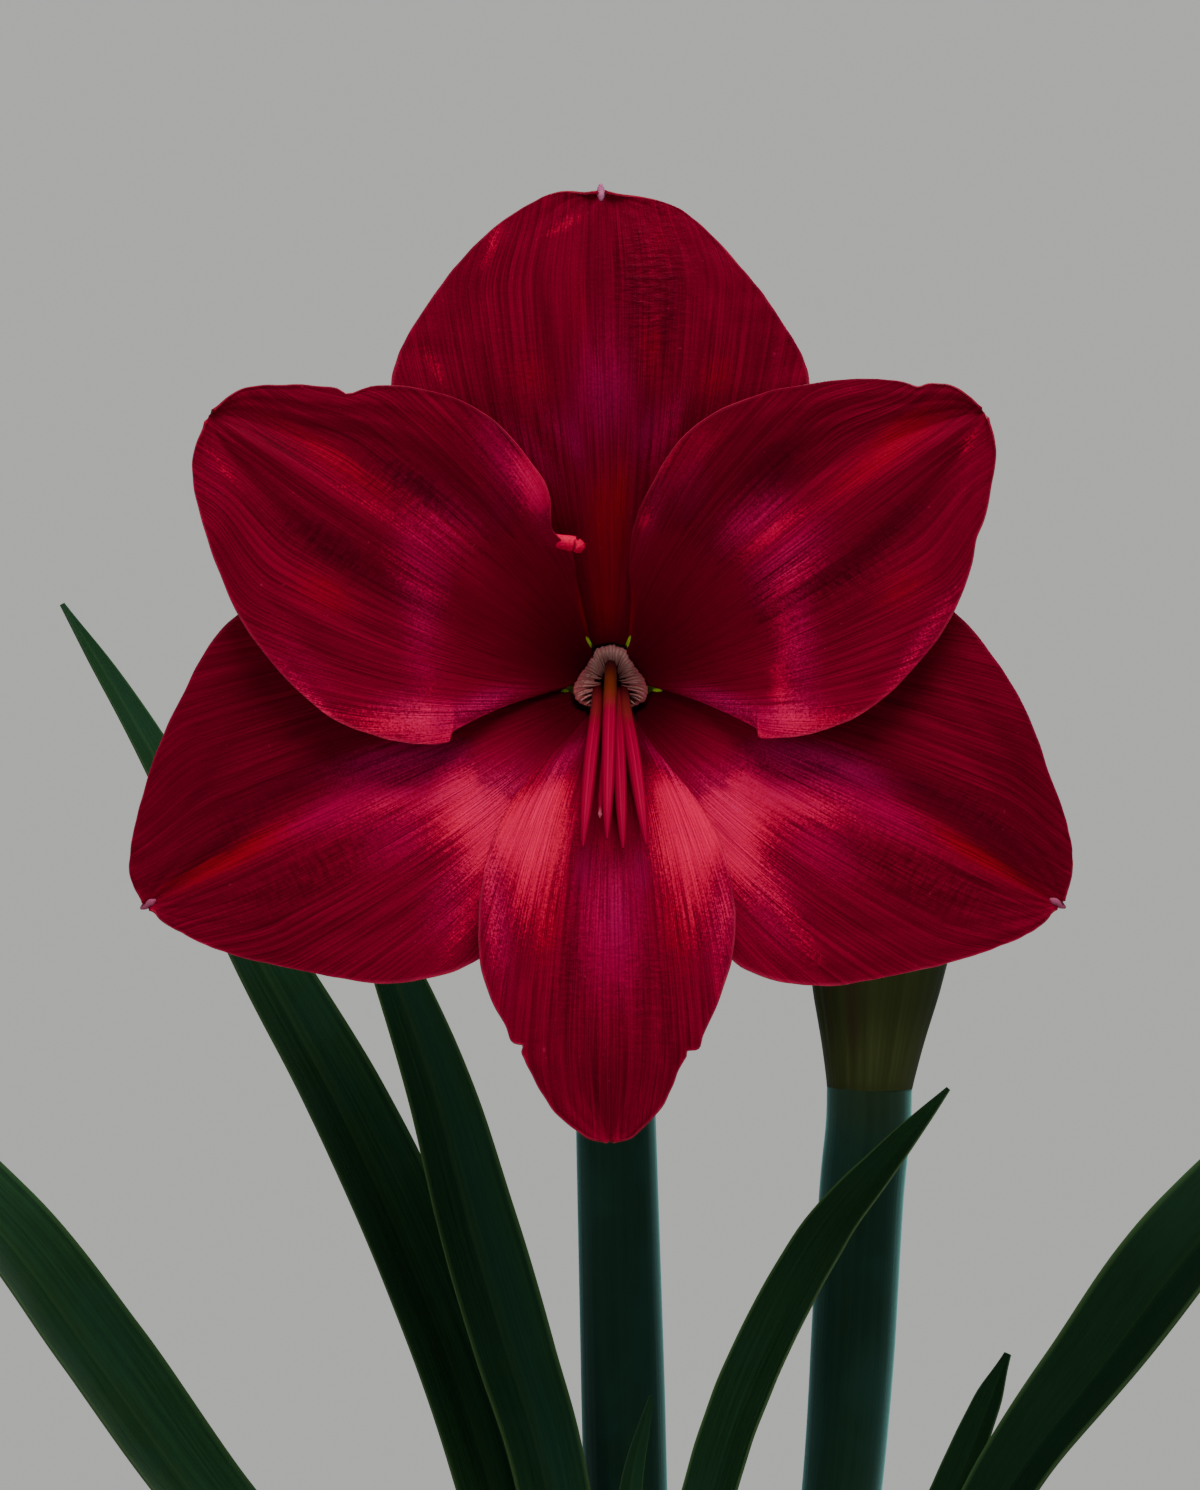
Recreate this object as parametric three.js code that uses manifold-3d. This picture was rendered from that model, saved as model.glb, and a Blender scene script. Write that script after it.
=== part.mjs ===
// Potted amaryllis: one wide-open crimson flower, a second stem with a closed bud,
// seven strap leaves, the bulb with its roots, potting mix and a plain clay pot.
// Millimetres, +Z up. The origin is the centre of the pot's underside. The flower faces -Y.

import * as THREE from "three";
import { mergeVertices } from "three/addons/utils/BufferGeometryUtils.js";
import Module from "manifold-3d";

const wasm = await Module();
wasm.setup();

// Clearance between neighbours that rest on each other.
const GAP = 0.3;

// Pot and potting mix.
const POT_HEIGHT = 150;
const POT_RIM_RADIUS = 88;
const POT_FOOT_RADIUS = 61;
const POT_FLOOR = 9;
const POT_SIDES = 40;
const DRAIN_HOLES = 4;
const DRAIN_HOLE_RADIUS = 4.5;
const DRAIN_RING_RADIUS = 34;
const SOIL_LEVEL = 136;

// Bulb: heights above the table, and the radius of the neck that holds leaves and stems.
const BULB_BOTTOM = 62;
const BULB_TOP = 198;
const BULB_RADIUS = 54;
const NECK_RADIUS = 30.5;
const SOCKET_FLOOR = 168;
const ROOTS = 7;

// The flower: its throat lies on the axis, and its face spreads ahead of the throat.
const THROAT = new THREE.Vector3(-21, -45, 566);
const FACE_Y = -85;
const VIEW_DISTANCE = 1100;
const EYE_X = -23.4;
const EYE_Z = 551;
const FUNNEL_DEPTH = 42;
const FUNNEL_REACH = 28;
const CLAW_RING = 8.3;
const INNER_WHORL_INSET = 1.7;
const WHORL_SPACE = 7.5;
const TEPAL_THICKNESS = 0.9;
const TUBE_MOUTH_RADIUS = 9.4;
const TUBE_HOLLOW_RADIUS = 8;
const TUBE_HOLLOW_DEPTH = 12;

const COLOURS = {
  clay: 0xb0694a,
  soil: 0x3a2a20,
  papery: 0x8a5a38,
  root: 0xe0d2b4,
  stem: 0x4d6b55,
  leaf: 0x1f4a2a,
  bud: 0x7f8a45,
  bract: 0xa39a6c,
  petal: 0xa5001f,
  corona: 0xd9a8a0,
  filament: 0xb01230,
};

// Vectors, meshes and solids.

function vec(x, y, z) {
  return new THREE.Vector3(x, y, z);
}

function smooth(from, to, x) {
  return THREE.MathUtils.smoothstep(x, from, to);
}

function mix(a, b, t) {
  return a + (b - a) * t;
}

// Interpolates [position, value] pairs along a line.
function profileAt(pairs, x) {
  if (x <= pairs[0][0]) return pairs[0][1];
  for (let i = 1; i < pairs.length; i++) {
    const [x1, y1] = pairs[i];
    const [x0, y0] = pairs[i - 1];
    if (x <= x1) return mix(y0, y1, (x - x0) / (x1 - x0));
  }
  return pairs[pairs.length - 1][1];
}

// The same pairs joined by a rounded line, with the slope at each pair taken from its neighbours.
function roundedAt(pairs, x) {
  const slope = (i) => {
    const [before, after] = [pairs[Math.max(i - 1, 0)], pairs[Math.min(i + 1, pairs.length - 1)]];
    return (after[1] - before[1]) / (after[0] - before[0]);
  };
  const i = Math.min(pairs.findIndex(([end], k) => k > 0 && x <= end), pairs.length - 1);
  const [[x0, y0], [x1, y1]] = [pairs[i - 1], pairs[i]];
  const t = (x - x0) / (x1 - x0);
  const reach = x1 - x0;
  return y0 * (1 + 2 * t) * (1 - t) * (1 - t) + y1 * t * t * (3 - 2 * t)
    + reach * (slope(i - 1) * t * (1 - t) * (1 - t) - slope(i) * t * t * (1 - t));
}

// Turns a closed surface right side out, by the sign of its volume.
function outward(points, triangles) {
  let volume = 0;
  for (const [a, b, c] of triangles) {
    volume += points[a].dot(points[b].clone().cross(points[c]));
  }
  const turned = volume < 0 ? triangles.map(([a, b, c]) => [a, c, b]) : triangles;
  const geometry = new THREE.BufferGeometry();
  geometry.setAttribute("position", new THREE.Float32BufferAttribute(points.flatMap((p) => p.toArray()), 3));
  geometry.setIndex(turned.flat());
  return geometry;
}

// A body skinned over rings of equal count, closed at both ends by a fan.
function loft(rings) {
  const count = rings[0].length;
  const points = rings.flat();
  const triangles = [];
  for (let i = 0; i + 1 < rings.length; i++) {
    for (let j = 0; j < count; j++) {
      const a = i * count + j;
      const b = i * count + ((j + 1) % count);
      triangles.push([a, b, b + count], [a, b + count, a + count]);
    }
  }
  for (const [ring, first, flip] of [[rings[0], 0, true], [rings.at(-1), (rings.length - 1) * count, false]]) {
    const centre = ring.reduce((sum, p) => sum.add(p), vec(0, 0, 0)).divideScalar(count);
    const hub = points.push(centre) - 1;
    for (let j = 0; j < count; j++) {
      const a = first + j;
      const b = first + ((j + 1) % count);
      triangles.push(flip ? [b, a, hub] : [a, b, hub]);
    }
  }
  return outward(points, triangles);
}

// A thin blade: its middle surface is a grid of points, and both faces lie half a thickness away
// along the surface normal. Both faces are split along the same diagonals.
function blade(columns, rows, middle, thickness) {
  const step = 1e-3;
  const faces = [[], []];
  for (let i = 0; i <= rows; i++) {
    for (let j = 0; j <= columns; j++) {
      const u = -1 + (2 * j) / columns;
      const v = i / rows;
      const across = middle(Math.min(u + step, 1), v).sub(middle(Math.max(u - step, -1), v));
      const along = middle(u, Math.min(v + step, 1)).sub(middle(u, Math.max(v - step, 0)));
      const normal = across.cross(along).normalize();
      const half = thickness(u, v) / 2;
      const point = middle(u, v);
      faces[0].push(point.clone().addScaledVector(normal, half));
      faces[1].push(point.clone().addScaledVector(normal, -half));
    }
  }
  const points = faces.flat();
  const width = columns + 1;
  const back = faces[0].length;
  const triangles = [];
  for (let i = 0; i < rows; i++) {
    for (let j = 0; j < columns; j++) {
      const a = i * width + j;
      const [b, c, d] = [a + 1, a + width + 1, a + width];
      triangles.push([a, b, c], [a, c, d]);
      triangles.push([a + back, c + back, b + back], [a + back, d + back, c + back]);
    }
  }
  const rim = [];
  for (let j = 0; j < columns; j++) rim.push(j);
  for (let i = 0; i < rows; i++) rim.push(i * width + columns);
  for (let j = columns; j > 0; j--) rim.push(rows * width + j);
  for (let i = rows; i > 0; i--) rim.push(i * width);
  rim.forEach((a, k) => {
    const b = rim[(k + 1) % rim.length];
    triangles.push([a, a + back, b + back], [a, b + back, b]);
  });
  return outward(points, triangles);
}

function solid(geometry) {
  const bare = geometry.clone();
  bare.deleteAttribute("normal");
  bare.deleteAttribute("uv");
  const merged = mergeVertices(bare, 1e-5);
  return new wasm.Manifold(new wasm.Mesh({
    numProp: 3,
    vertProperties: new Float32Array(merged.attributes.position.array),
    triVerts: new Uint32Array(merged.index.array),
  }));
}

function geometryOf(manifold) {
  const mesh = manifold.getMesh();
  const geometry = new THREE.BufferGeometry();
  geometry.setAttribute("position", new THREE.BufferAttribute(new Float32Array(mesh.vertProperties), 3));
  geometry.setIndex(new THREE.BufferAttribute(new Uint32Array(mesh.triVerts), 1));
  return geometry;
}

// A turned body about the vertical axis, from a closed profile of [radius, height].
function turned(profile, sides) {
  const lathe = new THREE.LatheGeometry(profile.map(([r, z]) => new THREE.Vector2(r, z)), sides);
  lathe.rotateX(Math.PI / 2);
  const merged = mergeVertices(lathe.toNonIndexed().deleteAttribute("normal").deleteAttribute("uv"), 1e-4);
  const position = merged.attributes.position;
  const points = [];
  for (let i = 0; i < position.count; i++) points.push(vec(0, 0, 0).fromBufferAttribute(position, i));
  const index = merged.index.array;
  const triangles = [];
  for (let i = 0; i < index.length; i += 3) {
    const [a, b, c] = [index[i], index[i + 1], index[i + 2]];
    if (a !== b && b !== c && c !== a) triangles.push([a, b, c]);
  }
  return outward(points, triangles);
}

// A round stem along a smooth path, with a radius for each share of its length.
function stem(path, radiusAt, sides, stations) {
  const curve = new THREE.CatmullRomCurve3(path.map((p) => vec(...p)));
  const rings = [];
  for (let i = 0; i <= stations; i++) {
    const share = i / stations;
    const along = curve.getTangentAt(share);
    const side = Math.abs(along.x) > 0.9 ? vec(0, 1, 0) : vec(1, 0, 0);
    side.addScaledVector(along, -side.dot(along)).normalize();
    const front = along.clone().cross(side);
    const centre = curve.getPointAt(share);
    const radius = radiusAt(share);
    const ring = [];
    for (let j = 0; j < sides; j++) {
      const angle = (2 * Math.PI * j) / sides;
      ring.push(centre.clone()
        .addScaledVector(side, radius * Math.cos(angle))
        .addScaledVector(front, radius * Math.sin(angle)));
    }
    rings.push(ring);
  }
  return loft(rings);
}

// Pot: tapered clay wall with a rim band, a flat floor and drain holes round its middle.
function pot() {
  const r = POT_RIM_RADIUS;
  const f = POT_FOOT_RADIUS;
  const top = POT_HEIGHT;
  const profile = [
    [0, 0], [f - 2, 0], [f, 2], [r - 9.5, top - 34], [r - 4.5, top - 32], [r, top - 2], [r - 1.5, top],
    [r - 6, top], [r - 8, top - 3], [r - 14, top - 34], [f - 7, POT_FLOOR + 5], [f - 11, POT_FLOOR], [0, POT_FLOOR],
  ];
  let body = solid(turned(profile, POT_SIDES));
  for (let i = 0; i < DRAIN_HOLES; i++) {
    const angle = (2 * Math.PI * (i + 0.5)) / DRAIN_HOLES;
    const hole = new THREE.CylinderGeometry(DRAIN_HOLE_RADIUS, DRAIN_HOLE_RADIUS, 3 * POT_FLOOR, 12);
    hole.rotateX(Math.PI / 2);
    hole.translate(DRAIN_RING_RADIUS * Math.cos(angle), DRAIN_RING_RADIUS * Math.sin(angle), POT_FLOOR / 2);
    body = body.subtract(solid(hole));
  }
  return body;
}

// Bulb outline, from the basal end up to the neck.
function bulbProfile(grow) {
  const points = [
    [0, BULB_BOTTOM], [16, BULB_BOTTOM], [31, BULB_BOTTOM + 6], [46, BULB_BOTTOM + 22], [BULB_RADIUS, 108],
    [52.5, 130], [44, 152], [34.5, 172], [NECK_RADIUS + 0.5, 186], [NECK_RADIUS, BULB_TOP - 1.5],
    [NECK_RADIUS - 2.5, BULB_TOP], [0, BULB_TOP],
  ];
  return points.map(([r, z]) => [r > 0 ? r + grow : 0, z > 100 ? z + grow : z - grow]);
}

function rootPath(i) {
  const angle = (2 * Math.PI * (i + 0.25)) / ROOTS;
  const spread = 40 + 6 * Math.cos(2.4 * i);
  const deep = 18 + 4 * Math.sin(1.7 * i);
  const at = (r, turn, z) => [r * Math.cos(angle + turn), r * Math.sin(angle + turn), z];
  return [at(8, 0, BULB_BOTTOM - 4), at(20, 0.05, BULB_BOTTOM - 14), at(34, 0.15, deep + 16), at(spread, 0.3, deep)];
}

// Roots: the basal plate with its thick fleshy roots.
function roots(grow) {
  const plate = [
    [0, BULB_BOTTOM - 9 - grow], [12 + grow, BULB_BOTTOM - 9 - grow], [16 + grow, BULB_BOTTOM - 5],
    [15 + grow, BULB_BOTTOM - GAP + grow], [0, BULB_BOTTOM - GAP + grow],
  ];
  let body = solid(turned(plate, 16));
  for (let i = 0; i < ROOTS; i++) {
    body = body.add(solid(stem(rootPath(i), (s) => mix(2.7, 1.5, s) + grow, 5, 4)));
  }
  return body;
}

// Potting mix: fills the pot up to its level, round the bulb and its roots.
function soil() {
  const f = POT_FOOT_RADIUS - 7 - GAP;
  const wall = POT_RIM_RADIUS - 14 - GAP - 0.2;
  const profile = [
    [0, POT_FLOOR + GAP], [f - 5, POT_FLOOR + GAP], [f, POT_FLOOR + 6], [wall, POT_HEIGHT - 34.5],
    [wall + 3, SOIL_LEVEL - 2], [wall, SOIL_LEVEL], [66, SOIL_LEVEL + 1.5], [57, SOIL_LEVEL + 3], [0, SOIL_LEVEL + 3],
  ];
  return solid(turned(profile, 36))
    .subtract(solid(turned(bulbProfile(GAP), 28)))
    .subtract(roots(GAP));
}

// Leaves. Each follows a smooth path from its socket in the neck. The chord is the direction across
// the leaf, as an angle in plan, at the base and higher up. Widths are given along the leaf's length.
const LEFT_BASE = -90;
const RIGHT_BASE = 90;
const LEAVES = [
  {
    name: "leaf_1", thick: 2.4, chords: [LEFT_BASE, -146],
    widths: [[0, 17.5], [0.1, 18], [0.45, 23.5], [0.6, 24], [0.72, 21.5], [0.8, 17.4], [0.89, 10.6], [0.96, 5.6], [1, 1.2]],
    path: [[-16.6, -11, 168], [-17, -11.5, 200], [-27.2, -14, 285], [-49.1, -4, 381.9], [-67.2, 2, 431],
      [-84.3, 5, 467.2], [-102.7, 8, 499.7], [-131.5, 11, 553.3], [-150.7, 12, 584.3]],
  },
  {
    name: "leaf_2", thick: 2.4, chords: [LEFT_BASE, -152],
    widths: [[0, 16], [0.3, 17], [0.55, 18.4], [0.7, 20.8], [0.78, 19], [0.86, 15.2], [0.93, 10], [1, 1.2]],
    path: [[-12.2, -11, 168], [-12.6, -11, 200], [-22, -10, 290], [-36.3, -8, 383.4], [-44, -8, 409.5],
      [-53, -8, 440.2], [-61.1, -8, 469.5], [-70.6, -8, 495.8], [-86.2, -6, 531.1]],
  },
  {
    name: "leaf_3", thick: 2.4, chords: [LEFT_BASE, -138],
    widths: [[0, 17], [0.1, 17.5], [0.45, 23], [0.58, 25.4], [0.7, 23], [0.8, 19], [0.9, 12], [0.97, 5.6], [1, 1.2]],
    path: [[-21, -11, 168], [-21.8, -11, 200], [-46, -12, 280], [-87.5, -12, 344], [-116.5, -10, 377],
      [-140.6, -10, 410.4], [-164, -10, 441], [-196, -9, 468], [-232, -8, 476], [-262, -7, 462], [-284, -6, 440]],
  },
  {
    name: "leaf_4", thick: 2.2, chords: [RIGHT_BASE, 152],
    widths: [[0, 14], [0.4, 14], [0.65, 13.8], [0.78, 14.6], [0.86, 13], [0.93, 8.6], [1, 1.2]],
    path: [[2.4, -11, 168], [2.2, -11.5, 200], [-6, -15, 290], [-4.8, -18, 340], [2.9, -20, 381], [12.9, -20, 408.8],
      [29.2, -20, 438.8], [42, -20, 454.5], [56.9, -20, 471.9]],
  },
  {
    name: "leaf_5", thick: 1.8, chords: [LEFT_BASE, -165],
    widths: [[0, 8], [0.3, 8], [0.7, 7.6], [0.86, 6.6], [0.95, 3.9], [1, 1]],
    path: [[-7.6, -11, 168], [-7.8, -11.8, 200], [-11, -18, 280], [-16.4, -19, 335], [-16.6, -18, 378],
      [-11.6, -16, 400.6]],
  },
  {
    name: "leaf_6", thick: 2.4, chords: [RIGHT_BASE, 138],
    widths: [[0, 17], [0.3, 17.5], [0.48, 19.5], [0.54, 24], [0.61, 27], [0.72, 25], [0.82, 19.5], [0.9, 13], [0.96, 7],
      [1, 1.2]],
    path: [[16.5, -11, 168], [17.4, -11, 200], [39, -16, 280], [55.6, -19, 344], [70, -18, 378.9], [92.4, -16, 408.8],
      [116.7, -15, 439.6], [150, -11, 469], [190, -10, 485], [226, -9, 478], [256, -8, 455]],
  },
  {
    name: "leaf_7", thick: 2, chords: [RIGHT_BASE, 146],
    widths: [[0, 11.5], [0.6, 11.5], [0.86, 10.5], [0.95, 7.4], [1, 1.6]],
    path: [[12, -11, 168], [12.6, -11, 200], [27, -7, 290], [45, -2.5, 345], [59.6, 0, 377.4], [72.2, 0, 408.5]],
  },
];

const LEAF_COLUMNS = 4;
const LEAF_STATIONS = 16;
const SOCKET_STATIONS = 5;

function leafRings(leaf, stations, grow) {
  const curve = new THREE.CatmullRomCurve3(leaf.path.map((p) => vec(...p)));
  const rings = [];
  for (let i = 0; i <= stations; i++) {
    const share = i / stations;
    const along = curve.getTangentAt(share);
    const turn = THREE.MathUtils.degToRad(mix(...leaf.chords, smooth(0.08, 0.5, share)));
    const chord = vec(Math.cos(turn), Math.sin(turn), 0);
    chord.addScaledVector(along, -chord.dot(along)).normalize();
    const face = along.clone().cross(chord);
    const width = roundedAt(leaf.widths, share);
    const thick = leaf.thick * mix(1, 0.5, smooth(0.1, 1, share));
    const fold = width * mix(0.14, 0.2, smooth(0.1, 0.6, share));
    const lift = (q, side) => fold * (Math.pow(Math.abs(q), 1.3) - 0.45 * smooth(0.1, 0.4, share))
      + side * (thick * (1 - 0.45 * q * q) / 2 + grow);
    const at = (q, side) => curve.getPointAt(share)
      .addScaledVector(chord, q * (width / 2 + grow))
      .addScaledVector(face, lift(q, side));
    const ring = [];
    for (let j = 0; j <= LEAF_COLUMNS; j++) ring.push(at(-1 + (2 * j) / LEAF_COLUMNS, 1));
    for (let j = LEAF_COLUMNS; j >= 0; j--) ring.push(at(-1 + (2 * j) / LEAF_COLUMNS, -1));
    rings.push(ring);
  }
  if (grow > 0) {
    rings.unshift(rings[0].map((p) => p.clone().add(vec(0, 0, -grow))));
  }
  return rings;
}

// Flower stems.
const SCAPE_BLOOM = {
  path: [[-15, 9.5, SOCKET_FLOOR], [-15, 9.5, 200], [-16, 9.8, 290], [-17.5, 10, 376.4], [-19.6, 10, 458.6],
    [-21.7, 10, 540]],
  radii: [[0, 10.2], [0.62, 9.9], [0.78, 9.5], [0.97, 8.8], [1, 8.2]],
};
const SCAPE_BUD = {
  path: [[15.5, 9.5, SOCKET_FLOOR], [15.6, 9.5, 200], [22, 10.5, 290], [33.9, 12, 376.3], [38.6, 12, 447],
    [40.1, 12, 462], [40.3, 12, 470]],
  radii: [[0, 9.9], [0.68, 9.45], [0.8, 10], [1, 10.1]],
};

function scape(spec, grow, reach) {
  const path = grow > 0 ? spec.path.map(([x, y, z]) => [x, y, z === SOCKET_FLOOR ? z - grow : z]) : spec.path;
  const body = stem(path, (s) => profileAt(spec.radii, s) + grow, 16, 12);
  return reach ? solid(body).intersect(solid(turned([[0, 0], [90, 0], [90, reach], [0, reach]], 8))) : solid(body);
}

// Neck of the bulb, with a plain socket for every leaf and stem.
function bulb() {
  let body = solid(turned(bulbProfile(0), 28));
  for (const leaf of LEAVES) {
    const socket = leafRings(leaf, LEAF_STATIONS, GAP).slice(0, SOCKET_STATIONS);
    body = body.subtract(solid(loft(socket)));
  }
  const reach = BULB_TOP + 12;
  return body.subtract(scape(SCAPE_BLOOM, GAP, reach)).subtract(scape(SCAPE_BUD, GAP, reach));
}

// Closed bud in its spathe, slightly flat from front to back.
function budSpathe() {
  const foot = vec(40.4, 12, 470.3 + GAP);
  const lean = vec(0.07, 0, 1);
  const radii = [[0, 10.1], [12, 12.4], [24, 15.2], [40, 17.8], [56, 18.2], [70, 15.6], [82, 10.8], [91, 5.4], [97, 1]];
  const rings = radii.map(([height, radius]) => {
    const ring = [];
    for (let j = 0; j < 16; j++) {
      const angle = (2 * Math.PI * j) / 16;
      const flat = mix(1, 0.8, smooth(0, 30, height));
      ring.push(foot.clone().addScaledVector(lean, height)
        .add(vec(radius * Math.cos(angle), flat * radius * Math.sin(angle), 0)));
    }
    return ring;
  });
  return loft(rings);
}

// Spathe valves: the two opened bracts at the top of the flowering stem, hanging back behind the flower.
function spatheValve(side) {
  const foot = vec(-21.7 + side * 6.9, 11, 540 + GAP + 0.5);
  const bract = {
    thick: 1.2, chords: [-90 * side, -60 * side],
    widths: [[0, 9], [0.25, 11.5], [0.5, 14], [0.75, 10.5], [0.92, 5], [1, 1.2]],
    path: [[0, 0, 0], [side * 1.6, 1.5, 8], [side * 7, 6, 24], [side * 16, 14, 36], [side * 28, 22, 38]]
      .map(([x, y, z]) => [foot.x + x, foot.y + y, foot.z + z]),
  };
  return loft(leafRings(bract, 8, 0));
}

// Stalk of the flower: pedicel, ovary and perianth tube, with the hollow mouth of the tube.
function flowerStalk() {
  const path = [[-21.7, 10, 540 + GAP], [-21.6, 9.4, 552], [-21.3, 3, 563], [-21, -9, 566], [-21, -28, 566],
    [-21, THROAT.y + 0.6, 566]];
  const radii = [[0, 4.4], [0.3, 3.9], [0.42, 4.3], [0.52, 6.3], [0.64, 6.6], [0.74, 5.4], [0.88, 7], [1, TUBE_MOUTH_RADIUS]];
  const body = solid(stem(path, (s) => profileAt(radii, s), 16, 20));
  const depth = TUBE_HOLLOW_DEPTH;
  const hollow = turned([[0, -4], [TUBE_HOLLOW_RADIUS + 0.6, -4], [TUBE_HOLLOW_RADIUS, 0], [5.2, depth], [0, depth]], 16);
  hollow.rotateX(-Math.PI / 2);
  hollow.translate(THROAT.x, THROAT.y, THROAT.z);
  return body.subtract(solid(hollow));
}

// Tepals. Each is spanned by three rails in the flower's face plane, right of the throat and up:
// the edge on the left looking outwards, the midrib, and the edge on the right.
const TEPALS = [
  {
    name: "tepal_top", inner: false,
    left: [[-3.7, 7.8], [-14.1, 15.2], [-30.4, 29.3], [-43, 46.7], [-47.6, 63.9], [-41.5, 79.3], [-28.3, 95.7],
      [-14.1, 105.4], [-2.8, 106.1]],
    middle: [[0, 8.7], [-1, 60], [-2, 106.7]],
    right: [[3.7, 7.8], [13.5, 15.2], [28.3, 29.3], [40.2, 46.7], [43.3, 64.6], [38, 77.2], [28.3, 90],
      [15.2, 102.6], [-0.7, 106.1]],
  },
  {
    name: "tepal_upper_left", inner: true,
    left: [[-7.8, -0.9], [-22.4, -5.4], [-33.9, -10.9], [-36, -13.6], [-47.8, -12.8], [-62.8, -6.7], [-78.3, 10.2],
      [-87.2, 29.6], [-90.9, 45.7], [-88, 56]],
    middle: [[-5.7, 2.8], [-46, 31], [-87.2, 57.6]],
    right: [[-3.9, 6.5], [-7, 20.7], [-6.1, 28.5], [-11.7, 33], [-14.3, 43], [-26.5, 57.6], [-43, 63.7], [-63.5, 63.5],
      [-78.3, 63.9], [-86.4, 58.7]],
  },
  {
    name: "tepal_upper_right", inner: true,
    left: [[3.7, 6.5], [4.6, 17.4], [4.1, 26.1], [6.5, 37.4], [16.1, 53.3], [31.7, 62], [50.2, 65.4], [64.3, 65],
      [75, 63.5], [80.6, 59.3]],
    middle: [[5.9, 2.8], [43, 32], [81.3, 58.3]],
    right: [[7.8, -0.9], [19.6, -4.6], [31.2, -10], [33.4, -12.5], [44.8, -11.3], [58.9, -4.3], [72.6, 11.1], [80, 29.6],
      [83.7, 47.8], [82.2, 57]],
  },
  {
    name: "tepal_lower_left", inner: false,
    left: [[-5, -6.7], [-7.6, -23.9], [-14.1, -43.5], [-28.3, -60.4], [-46.5, -65.7], [-66.3, -63.3], [-84.6, -58.7],
      [-94.6, -54.1], [-100, -49.8]],
    middle: [[-7.2, -5.2], [-58.7, -24.3], [-100.9, -48.9]],
    right: [[-8.3, -3], [-19.6, 8.7], [-37, 19.6], [-58.7, 22.8], [-80.9, 14.3], [-93.5, -3.3], [-101.7, -25.4],
      [-104.6, -40.2], [-101.5, -48.3]],
  },
  {
    name: "tepal_lower_right", inner: false,
    left: [[8.7, -3], [19.6, 8.7], [37, 19.6], [58.7, 22.8], [75, 14.8], [89.1, -3.7], [98, -27], [100.7, -39.1],
      [98.7, -47.8]],
    middle: [[7.6, -5.2], [54.3, -23.9], [97.8, -48.7]],
    right: [[5.7, -6.7], [8.7, -23.9], [15.2, -43.5], [27.2, -61.3], [44.8, -66.3], [63, -63.9], [79.3, -59.6],
      [91.5, -54.8], [97, -49.6]],
  },
  {
    name: "tepal_bottom", inner: true,
    left: [[4.3, -6.8], [11.5, -17], [18.3, -25.2], [23.5, -34.1], [26.7, -46.1], [27.2, -56.5], [24.3, -67.4],
      [19.6, -78.3], [15.2, -83.9], [10.4, -93], [1.4, -100]],
    middle: [[0.2, -7.3], [0, -50], [0, -100.4]],
    right: [[-3.9, -6.8], [-10.2, -13.5], [-18.5, -22.2], [-24.3, -31.5], [-27.8, -43.5], [-28.7, -57.4], [-26.3, -68],
      [-21.1, -77.8], [-17.6, -84.3], [-10.9, -95.2], [-1.4, -100]],
  },
];

// How far the funnel has come forward of the throat at a radius from its axis, before it turns back.
function funnel(radius) {
  return FUNNEL_DEPTH * (1 - Math.exp((CLAW_RING - radius) / FUNNEL_REACH));
}

// A point of a tepal, u from -1 to 1 across and v from 0 to 1 along. Inner tepals stand in front of
// outer ones, with a raised midrib between two hollows; outer ones are channelled along the midrib.
// The blade point is then moved along its line of sight from the face plane to its own depth.
function tepalPoint(rails, inner, u, v) {
  const mid = rails.middle.getPoint(v);
  const edge = (u < 0 ? rails.left : rails.right).getPoint(v);
  const x = mix(mid.x, edge.x, Math.abs(u));
  const z = mix(mid.y, edge.y, Math.abs(u));
  const radius = Math.hypot(x, z);
  const spread = smooth(12, 50, radius);
  const bell = (width) => Math.exp(-Math.pow(u / width, 2));
  let forward;
  if (inner) {
    const hollows = Math.exp(-Math.pow((Math.abs(u) - 0.4) / 0.2, 2));
    const recurve = 5 * Math.pow(Math.max(0, (radius - 60) / 45), 2);
    forward = funnel(radius + INNER_WHORL_INSET) + WHORL_SPACE * smooth(9, 45, radius)
      + spread * (2 * u * u + bell(0.14) - 1.2 * hollows) - recurve;
  } else {
    const recurve = 8 * Math.pow(Math.max(0, (radius - 60) / 45), 2);
    forward = funnel(radius) + spread * (2.2 * u * u - 0.9 * bell(0.12)) - recurve;
  }
  const y = THROAT.y - 0.4 - forward;
  const reach = 1 + (y - FACE_Y) / VIEW_DISTANCE;
  const faceX = THROAT.x - 0.2 + x;
  const faceZ = THROAT.z - 1 + z;
  return vec(EYE_X + (faceX - EYE_X) * reach, y, EYE_Z + (faceZ - EYE_Z) * reach);
}

function tepal(spec) {
  const rail = (points) => new THREE.SplineCurve(points.map(([x, z]) => new THREE.Vector2(x, z)));
  const rails = { left: rail(spec.left), middle: rail(spec.middle), right: rail(spec.right) };
  const body = blade(10, 15, (u, v) => tepalPoint(rails, spec.inner, u, v), () => TEPAL_THICKNESS);
  return spec.inner ? body : solid(body).add(solid(mucro(rails)));
}

// The small horn at the tip of each outer tepal, bent towards the front.
function mucro(rails) {
  const root = tepalPoint(rails, false, 0, 0.96);
  const tip = tepalPoint(rails, false, 0, 1);
  const out = tip.clone().sub(root).normalize();
  const end = tip.clone().addScaledVector(out, 1.3).add(vec(0, -1.4, 0));
  return stem([root, tip.clone().add(vec(0, -0.5, 0)), end].map((p) => p.toArray()), (s) => mix(1, 0.45, s), 5, 3);
}

// A point given from the throat: right, towards the viewer, up.
function fromThroat(x, ahead, z) {
  return [THROAT.x + x, THROAT.y - ahead, THROAT.z + z];
}

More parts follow.
